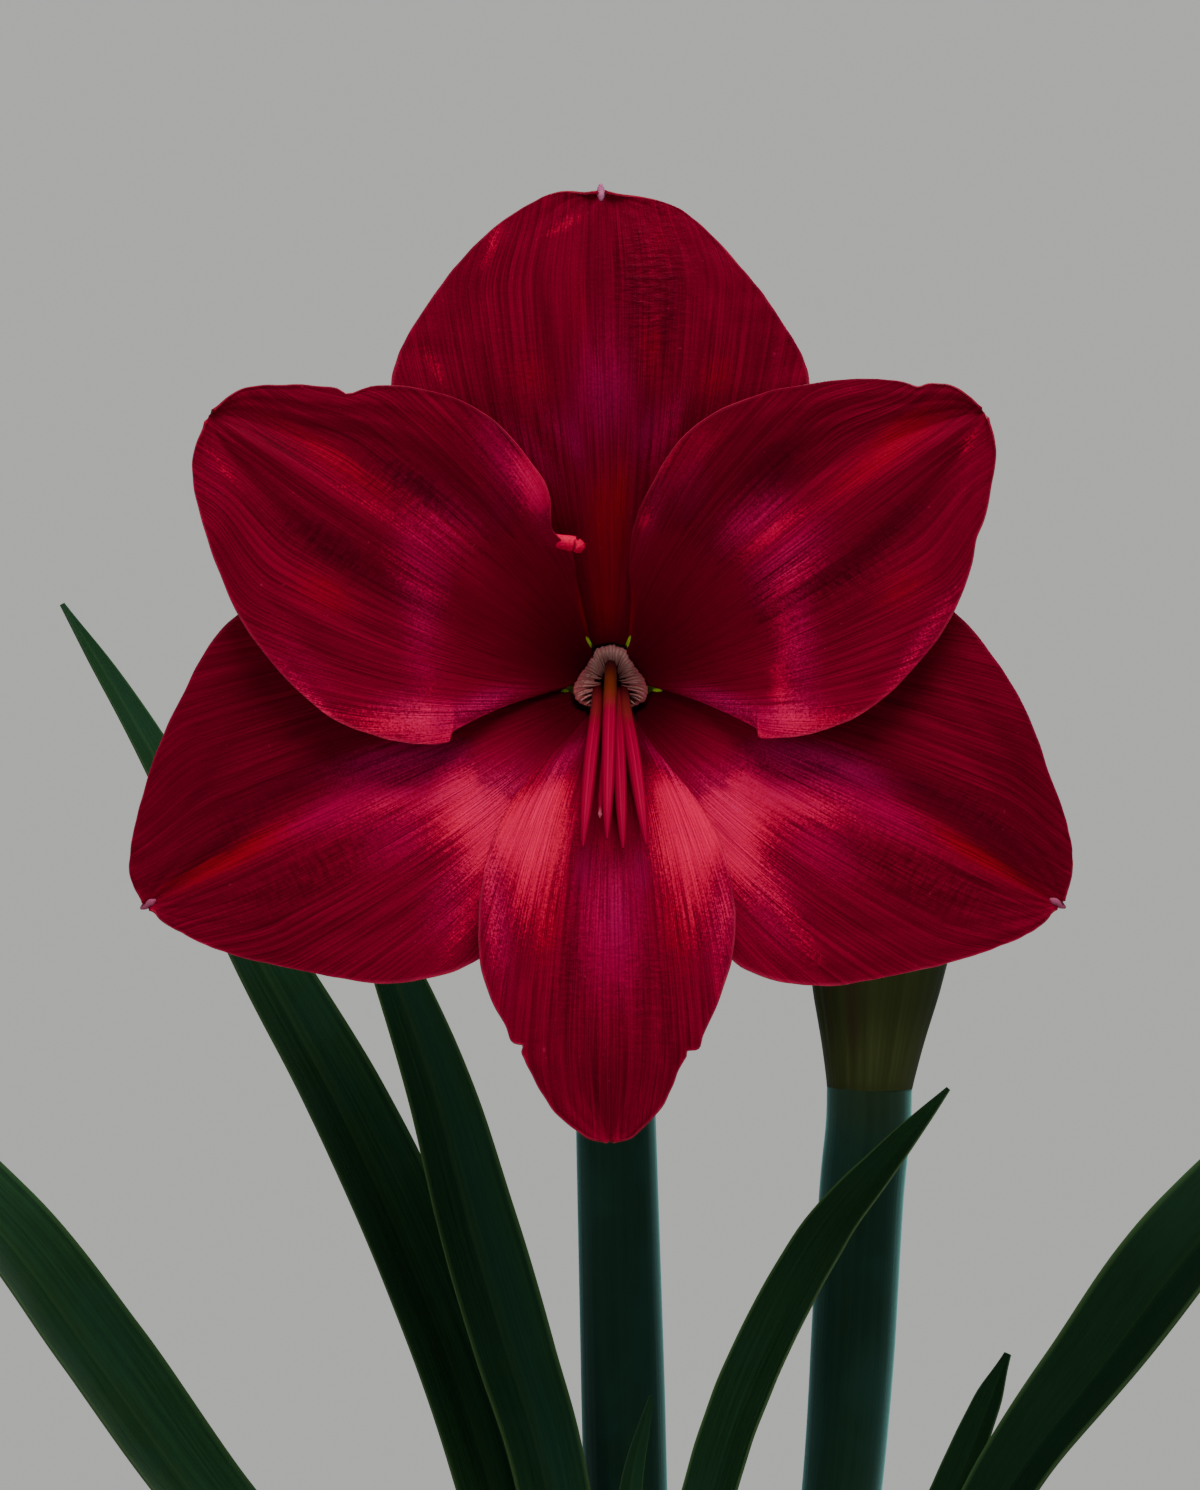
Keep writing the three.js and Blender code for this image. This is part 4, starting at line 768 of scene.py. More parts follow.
        "mauve": [[-10, -18, 8, 1.8, 52, 0.8], [13.5, -20, 8, 1.4, 128, 0.6], [-25, -48, 16, 3, 95, 0.5],
                  [25, -48, 16, 3, 85, 0.5], [0, -48, 12, 5, 90, 0.2]],
    },
}


def spots(marks, x, z):
    """The sum of long soft spots: strength times exp(-(a/half length)^2 - (b/half width)^2), with a along
    the spot's slant and b across it, kept below 1."""
    total = np.zeros_like(x)
    for right, up, long, wide, slant, strength in marks:
        c, s = math.cos(math.radians(slant)), math.sin(math.radians(slant))
        a, b = (x - right) * c + (z - up) * s, (z - up) * c - (x - right) * s
        total = total + strength * np.exp(-(a / long) ** 2 - (b / wide) ** 2)
    return np.clip(total, 0, 1)


def face_place(spec, u, v):
    """Place in the face plane: from the midrib towards one edge in a straight line by |u|, both read at v.
    Nicks and a slight raggedness move the margin alone, by |u|^6."""
    middle = rail(spec["middle"], v)
    edges = np.where((u < 0)[..., None], rail(spec["left"], v), rail(spec["right"], v))
    nick = np.zeros_like(v)
    for side, place, width, depth in spec["nicks"]:
        nick = nick + depth * bell(v, place, width) * (np.sign(u) == side)
    seed = int(spec["reach"])
    ragged = 0.16 * wave(v * 26, seed) * smooth(0.2, 0.4, v) * smooth(1, 0.93, v)
    out = unit(edges - middle)
    return mix(middle, edges, np.abs(u)[..., None]) + out * ((ragged - nick) * np.abs(u) ** 6)[..., None]


def tepal_surface(spec, u, v):
    """Points of a tepal. Its distance ahead of the throat is a funnel, depth (1 - exp((ring - radius)/reach)),
    which turns back by a square law past 60 mm. The inner whorl stands further out, with a raised midrib
    between two hollows; the outer one is channelled. Low pleats follow the length and the margins wave.
    Each point then moves along its line of sight from the face plane to its own depth."""
    at = face_place(spec, u, v)
    x, z = at[..., 0], at[..., 1]
    radius = np.hypot(x, z)
    spread = smooth(12, 50, radius)
    past = np.maximum(0, (radius - 60) / 45) ** 2
    if spec["inner"]:
        funnel = FUNNEL_DEPTH * (1 - np.exp((CLAW_RING - radius - INNER_WHORL_INSET) / FUNNEL_REACH))
        hollows = np.exp(-((np.abs(u) - 0.4) / 0.2) ** 2)
        relief = (bell(u, 0, 0.14) - 1.2 * hollows) * smooth(1.0, 0.8, v)
        forward = funnel + WHORL_SPACE * smooth(9, 45, radius) + spread * (2 * u * u + relief) - 5 * past
    else:
        funnel = FUNNEL_DEPTH * (1 - np.exp((CLAW_RING - radius) / FUNNEL_REACH))
        forward = funnel + spread * (2.2 * u * u - 0.9 * bell(u, 0, 0.12) * smooth(1.0, 0.85, v)) - 8 * past
    seed = int(spec["reach"])
    pleats = (0.10 * np.cos(u * 30) + 0.07 * wave(u * 24 + v * 2, seed + 1)) * smooth(1.0, 0.85, v)
    margin = 0.5 * wave(v * 16 + 2 * np.sign(u), seed + 2) * np.abs(u) ** 4
    forward = forward + spread * (pleats + margin)
    for fold in spec.get("folds", ()):
        forward = forward + fold_height(fold, x, z)
    y = THROAT[1] - 0.4 - forward
    reach = 1 + (y - FACE_Y) / VIEW_DISTANCE
    face_x, face_z = THROAT[0] - 0.2 + x, THROAT[2] - 1 + z
    points = np.stack([EYE_X + (face_x - EYE_X) * reach, y, EYE_Z + (face_z - EYE_Z) * reach], -1)
    return points, x, z


def fold_height(fold, x, z):
    """A turned-up margin: height times a bell along and across the fold's own line."""
    right, up, long, wide, slant, height = fold
    return height * spots([[right, up, long, wide, slant, 1.0]], x, z)


# Where a margin stands proud or sinks, given as marks are, with a height in millimetres.
FOLDS = {
    "tepal_upper_left": [[-40.5, -9, 6, 5, 80, 1.6], [-26, -7, 9, 2, 18, -0.8]],
    "tepal_upper_right": [[6, 34, 8, 2.2, 80, 0.9], [36.5, -8, 6, 4.5, 100, 1.4], [25, -7, 8, 2, 160, -0.6]],
}
SLIVERS = [[-4.6, 8.5, 1.8, 0.42, 122, 1.0], [4.0, 8.5, 1.8, 0.42, 70, 1.0], [-9.9, -2.2, 1.2, 0.42, 12, 1.0],
           [10.2, -2.1, 1.7, 0.42, 172, 1.0]]
TEPAL_COLUMNS = 90
TEPAL_ROWS = 130
HORN_PALLOR = 0.35


def make_tepal(name, spec, material):
    """A tepal: both faces lie half a thickness from its middle surface along the normal, thinner at the
    margins, and a strip joins them round the rim. Outer tepals end in a small horn."""
    spec = dict(spec, folds=FOLDS.get(name, ()))
    u, v = np.meshgrid(np.linspace(-1, 1, TEPAL_COLUMNS + 1), np.linspace(0, 1, TEPAL_ROWS + 1))
    middle, x, z = tepal_surface(spec, u, v)
    normal = unit(np.cross(np.gradient(middle, axis=1), np.gradient(middle, axis=0)))
    half = TEPAL_THICKNESS * (0.5 - 0.22 * smooth(0.9, 1, np.abs(u)))[..., None]
    half = half * (-1 if normal[..., 1].mean() > 0 else 1)
    points = np.concatenate([middle + normal * half, middle - normal * half]).reshape(-1, 3)
    rows, columns = u.shape
    count = rows * columns
    faces = grid_faces(rows, columns)
    rim = np.concatenate([np.arange(columns), np.arange(1, rows) * columns + columns - 1,
                          (rows - 1) * columns + np.arange(columns - 2, -1, -1), np.arange(rows - 2, 0, -1) * columns])
    after = np.roll(rim, -1)
    strip = np.stack([after, rim, rim + count, after + count], -1)
    blade = outward((points, np.vstack([faces, faces[:, ::-1] + count, strip]), []))
    start, tip = np.array(spec["middle"], float)[[0, -1]]
    along = unit(tip - start)
    run = (x - start[0]) * along[0] + (z - start[1]) * along[1]
    off = (z - start[1]) * along[0] - (x - start[0]) * along[1]
    fan = 5 + 30 * (1 - np.exp(-np.maximum(run, 0) / 38)) * (1 - 0.35 * smooth(0.75, 1.0, run / spec["reach"]))
    uv = np.stack([off / fan + 3, run / 100], -1).reshape(-1, 2)
    radius = np.hypot(x, z)
    edge = spec["zone"] + wave(np.arctan2(z, x) * 12, 5) * 1.6
    # Colour marks: light and mauve are painted highlight and sheen, shade and wrinkle painted shade, core and purple
    # partly painted shade; clear lifts the throat zone.
    marks = {key: spots(spec.get(key, ()), x, z)
             for key in ("scarlet", "magenta", "purple", "light", "mauve", "shade", "wrinkle")}
    clear = spots(spec.get("clear", ()), x, z)
    marks["deep"] = np.clip(spots(spec.get("deep", ()), x, z) + smooth(edge + 5, edge - 5, radius) - clear, 0, 1)
    marks["light"] = marks["light"] * np.maximum(smooth(edge - 4, edge + 1, radius), clear)
    # core: in part the throat's own dark red, in part painted shade of the deep funnel.
    core, core_reach = spec["core"]
    marks["core"] = np.clip(core * smooth(core_reach, 9, radius) - clear, 0, 1)
    marks["pale"] = 0.3 * smooth(0.98, 1, np.abs(u)) * smooth(0.12, 0.3, v) * (0.7 + 0.3 * wave(v * 20, 12))
    marks["veins"] = np.clip(0.52 + 0.25 * wave(u * 7 + v * 5, 11), 0, 1) * smooth(1.0, 0.9, v) * smooth(0.05, 0.2, v)
    marks["green"] = spots(SLIVERS, x, z)
    # The fold's line: the lobe on one side of it is painted pink as a highlight.
    fold_x, fold_top, way = spec.get("fold", (0, -200, 1))
    marks["flap"] = way * (fold_x - x)
    marks["lobe"] = smooth(fold_top, fold_top - 5, z) * bell(x, fold_x, 8) * smooth(60, 45, np.abs(x))
    marks["horn"] = 0 * u
    extra = [] if spec["inner"] else [mucro_parts(spec)]
    extra += [curl_parts()] if name == "tepal_upper_left" else []
    # The curl gets the light mark all over: a painted highlight.
    fill = {"light": 0.6} if spec["inner"] else {"horn": spec.get("horn", HORN_PALLOR)}
    added = sum(len(part[0]) for part in extra)
    marks = {key: np.concatenate([np.tile(value.ravel(), 2), np.full(added, fill.get(key, 0.0))])
             for key, value in marks.items()}
    marks["reverse"] = np.repeat([0.0, 0.75, 0.0], [count, count, added])
    points, quads, triangles = join_parts([blade] + [outward(part) for part in extra])
    return piece(f"{name}_skin", points, quads, triangles, np.vstack([uv, uv, np.zeros((added, 2))]), marks, [name],
                 material, crease=70)


def mucro_parts(spec):
    """The horn at the tip of an outer tepal: a short tube that tapers and bends towards the front."""
    ends, _, _ = tepal_surface(dict(spec, nicks=[]), np.zeros(2), np.array([0.955, 1.0]))
    out = unit(ends[1] - ends[0])
    path = [ends[0], ends[1] + [0, -0.5, 0], ends[1] + 1.3 * out + [0, -1.4, 0]]
    rings = stem_rings(path, lambda s: line_at([[0, 0.5], [0.3, 1.05], [0.75, 0.8], [1, 0.3]], s), 12, 12)
    return tube_parts(rings)


def curl_parts():
    """The rolled lobe on the upper left tepal's margin: a short bent tube that swells and ends in a dimple."""
    places = [[-18.5, 32.6, -0.6], [-14.5, 31.0, 0.3], [-11, 30.2, 0.8], [-7.8, 29.6, 0.6], [-6.2, 28.5, 0.1]]
    spec = dict(TEPALS["tepal_upper_left"], folds=())
    edge, _, _ = tepal_surface(spec, np.array([1.0]), np.array([0.22]))
    path = []
    for right, up, ahead in places:
        y = edge[0, 1] - ahead - 0.6
        reach = 1 + (y - FACE_Y) / VIEW_DISTANCE
        path.append([EYE_X + (THROAT[0] + right - EYE_X) * reach, y, EYE_Z + (THROAT[2] - 1 + up - EYE_Z) * reach])
    radii = [[0, 0.3], [0.25, 1.0], [0.5, 1.5], [0.8, 1.75], [0.95, 1.5], [1, 0.9]]
    rings = stem_rings(path, lambda s: line_at(radii, s), 24, 20)
    last = rings[-1].mean(0)
    dimple = last + (rings[-1] - last) * 0.6 + (rings[-3].mean(0) - last) * 1.2
    return tube_parts(np.concatenate([rings, dimple[None]]))


# The heart of the flower.

def from_throat(x, ahead, z):
    """A point given from the throat: right, towards the viewer, up."""
    return np.stack(np.broadcast_arrays(THROAT[0] + x, THROAT[1] - ahead, THROAT[2] + z), -1)


# Collar in the throat: angle from straight down, radius of the inner edge, and radius of the outer lip
# with its distance ahead of the throat.
CORONA_SHAPE = [[0, 6.4, 7, 0.8], [32, 6.6, 7.5, 1.8], [56, 6.6, 9.2, 4.6], [74, 5.6, 8.6, 4.4], [98, 4.5, 6.7, 2.6],
                [118, 3.9, 5.9, 1.7], [140, 4.2, 6.2, 1.8], [153, 4.9, 7.2, 2.2], [180, 4.9, 7.4, 2]]
CORONA_FRINGES = 42
CORONA_RIBS = 48


def corona_at(degrees):
    """The collar's inner radius, lip radius and distance ahead, at angles from straight down."""
    place, *rows = np.array(CORONA_SHAPE, float).T
    return [np.interp(np.abs(degrees), place, row) for row in rows]


def round_throat(radius, degrees, ahead):
    """Points round the throat, at angles from straight down."""
    angle = np.radians(degrees - 90)
    return from_throat(radius * np.cos(angle), ahead, radius * np.sin(angle))


def make_corona(material):
    """The collar is a closed section carried round the throat: foot, lip and a slope that leads in to a low
    inner edge, whose radii and distance ahead follow the angle, with uneven ribs down the slope. Fringes are
    thin tapered tubes that leave the slope and reach in over the tube's mouth."""
    degrees = np.linspace(-180, 180, 400, endpoint=False)
    inner, lip, ahead = corona_at(degrees)
    neck = ahead - 1.6
    turn = np.radians(degrees)
    rib = 0.5 + 0.5 * np.cos(turn * CORONA_RIBS + 1.2 * ring_wave(turn, 81, (3, 7, 11)))
    lip = lip + 0.16 * rib + 0.12 * ring_wave(turn, 82, (13, 21, 34))
    within = np.maximum(inner - 1.5 * smooth(40, 75, np.abs(degrees)), 2.9)
    radii = [7.3 + 0 * lip, inner + 0.7, mix(inner, lip, 0.6) + 0.3]
    fronts = [-1.4 + 0 * lip, neck - 0.2, mix(neck, ahead, 0.5) - 0.45]
    for t, raised in ((1.0, 0.0), (0.92, 0.25), (0.75, 0.2), (0.5, 0.1), (0.25, -0.05), (0.0, 0.0)):
        radii.append(mix(within, lip, t))
        fronts.append(mix(neck - 0.6, ahead, t ** 0.8) + raised + 0.15 * rib * (0.15 < t < 0.97))
    radii.append(6.4 + 0 * lip)
    fronts.append(-1.4 + 0 * lip)
    rings = round_throat(np.stack(radii, 1), degrees[:, None], np.stack(fronts, 1))
    parts = [outward((rings.reshape(-1, 3), hoop_faces(*rings.shape[:2]), []))]
    # The rib mark is painted light and shade: lighter on the ribs and towards the top of the collar, darker between the
    # ribs; it falls towards the foot and the inner edge.
    tone = [0.1, 0.2, 0.5, 1.0, 1.0, 0.8, 0.6, 0.4, 0.15, 0.0]
    top_light = mix(0.35, 1.0, smooth(95, 150, np.abs(degrees)))
    ribs = [np.outer(top_light * (0.6 + 0.4 * rib), tone).ravel()]
    low = smooth(120, 60, np.abs(degrees))
    reach = [1, 0.8, 0.8, 1, 0.9, 0.65, 0.5, 0.4, 0.4, 1]
    rim = [1, 1, 1, 0.95, 0.85, 0.4, 0.05, 0, 0, 1]
    blush = [np.maximum(np.outer(np.maximum(low, 0.1), reach), rim).ravel()]
    draw = np.random.default_rng(83)
    for place in np.linspace(38, 322, CORONA_FRINGES) + draw.uniform(-2.5, 2.5, CORONA_FRINGES):
        at = place - 360 if place > 180 else place
        edge, outer, front = corona_at(at)
        droop = -math.copysign(draw.uniform(8, 20) * math.sin(math.radians(abs(at))), at)
        end = max(edge - draw.uniform(2.0, 3.4), 1.9)
        spans = [(mix(edge, outer, 0.8), front - 0.15, 0), (mix(edge, outer, 0.2), front - 0.95, 0.1),
                 (mix(edge, end, 0.45), front - 1.5, 0.5), (end, front - 1.9, 1)]
        path = [round_throat(radius, at + droop * share, far) for radius, far, share in spans]
        rings = stem_rings(path, lambda s: line_at([[0, 0.14], [0.35, 0.3], [0.75, 0.2], [1, 0.06]], s), 12, 8)
        parts.append(outward(tube_parts(rings)))
        ribs.append(capped(np.repeat(np.linspace(0.5, 0.2, 12), 8), 0.5, 0.2))
        blush.append(np.full(len(ribs[-1]), 0.3 * float(smooth(110, 60, abs(at)))))
    points, quads, triangles = join_parts(parts)
    return piece("corona_skin", points, quads, triangles, np.zeros((len(points), 2)),
                 {"rib": np.concatenate(ribs), "blush": np.concatenate(blush)}, ["corona"], material)


# Foot on the ring, place where it passes the mouth, end, distance ahead, and how rusty its upper part is.
FILAMENTS = [
    [(0, 4.7), (0, 2), (-0.9, -35.4), 45, 1.0], [(-4.4, 1.5), (-2.9, -3.7), (-6.1, -37), 44, 0.5],
    [(4.4, 1.5), (2.9, -3.9), (7.6, -36.7), 44, 0.6], [(3, -3.9), (1.2, -3.4), (2.6, -37.5), 41.5, 0.4],
    [(-3, -3.9), (-2.8, -4.6), (-5.6, -34), 39, 0.1], [(1.6, -4.6), (2.8, -4.7), (6.9, -33.6), 39, 0.1],
]


def make_stamens(material):
    """Six filaments from a ring inside the tube: tubes along rounded paths that swell a little and taper to
    their ends."""
    angle = np.linspace(0, 2 * np.pi, 48, endpoint=False)[:, None]
    radius, deep = np.array([[4.2, 5.7, 6.3, 4.2]]), np.array([[-1, -1, 1, 1]]) - STAMEN_RING_DEPTH
    ring = from_throat(radius * np.cos(angle), deep, radius * np.sin(angle))
    parts = [outward((ring.reshape(-1, 3), hoop_faces(*ring.shape[:2]), []))]
    rust, dark, uvs = [np.zeros(48 * 4)], [np.ones(48 * 4)], [np.zeros((48 * 4, 2))]
    profile = [[0, 1.0], [0.25, 1.45], [0.55, 1.55], [0.75, 1.35], [0.88, 1.0], [0.96, 0.62], [1, 0.25]]
    for foot, mouth, end, ahead, rusty in FILAMENTS:
        path = [from_throat(foot[0], -STAMEN_RING_DEPTH, foot[1]),
                from_throat(mix(foot[0], mouth[0], 0.6), -2, mix(foot[1], mouth[1], 0.5)),
                from_throat(mouth[0], 4, mouth[1]),
                from_throat(mix(mouth[0], end[0], 0.5), mix(4, ahead, 0.52), mix(mouth[1], end[1], 0.45)),
                from_throat(end[0], ahead, end[1])]
        rings = stem_rings(path, lambda s: rounded_at(profile, s), 60, 14)
        parts.append(outward(tube_parts(rings)))
        share = capped(np.repeat(np.linspace(0, 1, 60), 14), 0, 1)
        rust.append(rusty * smooth(0.46, 0.28, share))
        # Painted shade: darker where the filaments run inside the tube; darker also towards their ends.
        dark.append(0.8 * smooth(0.26, 0.12, share) + 0.2 * smooth(0.45, 0.25, share)
                    + 0.35 * smooth(0.82, 1, share))
        uvs.append(ring_uv(60, 14, 60))
    points, quads, triangles = join_parts(parts)
    marks = {"rust": np.concatenate(rust), "deep": np.concatenate(dark)}
    return piece("stamens_skin", points, quads, triangles, np.vstack(uvs), marks, ["stamens"], material)


def make_style(material):
    """A thin style with a small stigma of three lobes: a tube whose end swells and splits into three."""
    end = from_throat(-2.4, 35.5, -30)
    path = [from_throat(0, 0.8 - TUBE_HOLLOW_DEPTH, -0.4), from_throat(0, 0, -0.7), from_throat(-0.9, 9, -5),
            from_throat(-1.3, 22, -16.4), end]
    parts = [outward(tube_parts(stem_rings(path, lambda s: 0.75 - 0.4 * smooth(0.9, 1, s), 60, 12)))]
    pale = [smooth(0.97, 1, capped(np.repeat(np.linspace(0, 1, 60), 12), 0, 1))]
    for k in range(3):
        turn = 2 * math.pi * (k + 0.2) / 3
        lobe = [end + [0, 0.3, 0.2], end + [0.2 * math.cos(turn), -0.2, 0.2 * math.sin(turn) - 0.2],
                end + [0.35 * math.cos(turn), -0.4, 0.35 * math.sin(turn) - 0.5]]
        rings = stem_rings(lobe, lambda s: line_at([[0, 0.3], [0.6, 0.34], [1, 0.15]], s), 10, 10)
        parts.append(outward(tube_parts(rings)))
        pale.append(np.ones(len(parts[-1][0])))
    points, quads, triangles = join_parts(parts)
    return piece("style_skin", points, quads, triangles, np.zeros((len(points), 2)), {"pale": np.concatenate(pale)},
                 ["style"], material)


def make_flower_stalk(material):
    """Pedicel, three-ridged ovary and tube as one body of rings along a rounded path, which turns in at
    the mouth and runs back as a hollow."""
    path = [[-21.7, 10, 540.3], [-21.6, 9.4, 552], [-21.3, 3, 563], [-21, -9, 566], [-21, -28, 566], [-21, -44.4, 566]]
    radii = [[0, 4.4], [0.3, 3.9], [0.42, 4.3], [0.52, 6.3], [0.64, 6.6], [0.74, 5.4], [0.88, 7],
             [1, TUBE_MOUTH_RADIUS]]
    stations, count = 120, 60
    share = np.linspace(0, 1, stations)
    rings = stem_rings(path, lambda s: rounded_at(radii, s), stations, count)
    centre = rings.mean(1, keepdims=True)
    angle = np.linspace(0, 2 * np.pi, count, endpoint=False)
    lobes = 1 + 0.07 * np.cos(3 * angle)[None] * (smooth(0.4, 0.55, share) * smooth(0.78, 0.66, share))[:, None]
    rings = centre + (rings - centre) * lobes[..., None]
    mouth = []
    for radius, ahead in ((10.8, 2.1), (12.0, 3.9), (12.2, 4.3), (11.9, 4.5), (10.6, 2.6), (9.2, 0.3), (8.7, 0.0),
                          (8.0, -1.4), (6.8, -6), (5.2, 0.4 - TUBE_HOLLOW_DEPTH)):
        mouth.append(THROAT - [0, ahead, 0] + (rings[-1] - centre[-1]) * radius / TUBE_MOUTH_RADIUS)
    rings = np.concatenate([rings, np.stack(mouth)])
    points, quads, triangles = tube_parts(rings)
    rows = len(rings)
    red = np.concatenate([smooth(0.72, 1.0, share), np.ones(len(mouth))])
    olive = np.concatenate([0.6 * smooth(0.35, 0.6, share), np.zeros(len(mouth))])
    inward = smooth(8.1, 8.9, np.array([8, 8, 8.4, 11.9, 10.6, 9.2, 8.7, 8, 6.8, 5.2]))
    lip = np.concatenate([np.zeros(stations), inward])[:, None]
    upper = smooth(-4.5, -3, rings[..., 2] - THROAT[2])
    marks = {"red": capped(np.repeat(red, count), 0, 1) * 0.85, "olive": capped(np.repeat(olive, count)),
             "gap": capped(lip * upper), "dark": capped(lip * (1 - upper), 0, 1)}
    return piece("flower_stalk_skin", points, quads, triangles, ring_uv(rows, count, 100), marks, ["flower_stalk"],
                 material)


# Stems and bud.
SCAPES = {
    "scape_bloom": {
        "flush": 0.0,
        "path": [[-15, 9.5, 168], [-15, 9.5, 200], [-16, 9.8, 290], [-17.5, 10, 376.4], [-19.6, 10, 458.6],
                 [-21.7, 10, 540]],
        "radii": [[0, 10.2], [0.62, 9.9], [0.78, 9.5], [0.97, 8.8], [1, 8.2]],
    },
    "scape_bud": {
        "flush": 0.25,
        "path": [[15.5, 9.5, 168], [15.6, 9.5, 200], [22, 10.5, 290], [33.9, 12, 376.3], [38.6, 12, 447],
                 [40.1, 12, 462], [40.3, 12, 470]],
        "radii": [[0, 9.9], [0.68, 9.45], [0.8, 10], [1, 10.1]],
    },
}


def make_scape(name, spec, material):
    """A stem: rings along a rounded path, with very low ribs and an olive flush at its top."""
    stations, count = 160, 48
    rings = stem_rings(spec["path"], lambda s: line_at(spec["radii"], s), stations, count, ribs=9, rib=0.006)
    points, quads, triangles = tube_parts(rings)
    flush = spec["flush"] * smooth(0.94, 1.0, np.linspace(0, 1, stations))
    marks = {"olive": capped(np.repeat(flush, count), 0, spec["flush"])}
    return piece(f"{name}_skin", points, quads, triangles, ring_uv(stations, count, 330), marks, [name],
                 material)


BUD_HEIGHT = 97.0


def make_bud(material):
    """The closed bud in its spathe: rings whose radius follows the height, flatter from front to back,
    pinched where it joins the stem, with a seam down each side and low ribs."""
    radii = [[0, 10.1], [3, 10.6], [12, 12.4], [24, 15.2], [40, 17.8], [56, 18.2], [70, 15.6], [82, 10.8], [91, 5.4],
             [BUD_HEIGHT, 1]]
    stations, count = 110, 96
    height = np.linspace(0, BUD_HEIGHT, stations)[:, None]
    angle = np.linspace(0, 2 * np.pi, count, endpoint=False)[None]
    seam = bell(np.abs(np.sin(angle - 0.35)), 0, 0.07) * smooth(6, 20, height)
    ribs = 0.07 * np.cos(angle * 22) * smooth(4, 15, height) * smooth(BUD_HEIGHT, 85, height)
    radius = rounded_at(radii, height) + ribs - 0.7 * seam * smooth(BUD_HEIGHT, 88, height)
    flat = mix(1, 0.8, smooth(0, 30, height))
    foot = np.array([40.4, 12, 469.8])
    lean = np.array([0.07, 0, 1])
    out = np.stack([radius * np.cos(angle), flat * radius * np.sin(angle), 0 * radius], -1)
    rings = foot + height[..., None] * lean + out
    points, quads, triangles = tube_parts(rings)
    brown = (0.75 * bell(angle, math.pi * 1.36, 0.16) + 0.5 * bell(angle, math.pi * 1.2, 0.1)
             + 0.35 * bell(angle, math.pi * 0.4, 0.2)) * smooth(4, 16, height)
    line = 0.6 * bell(height, 0.6, 1.2) + 0.4 * seam
    # Painted shade: darker above the bud's foot.
    dusk = 0.6 * smooth(7, 22, height) * (1 - 0.6 * smooth(26, 50, height)) + 0 * angle
    marks = {"brown": capped(brown), "line": capped(line, 0.8), "dusk": capped(dusk)}
    return piece("bud_skin", points, quads, triangles, ring_uv(stations, count, BUD_HEIGHT), marks, ["bud_spathe"],
                 material)


# Leaves, as in the frame: each follows a rounded path from its socket; the chord is the direction across
# the leaf, as an angle in plan, at the base and higher up; widths are given along its length.
LEFT_BASE = -90
RIGHT_BASE = 90
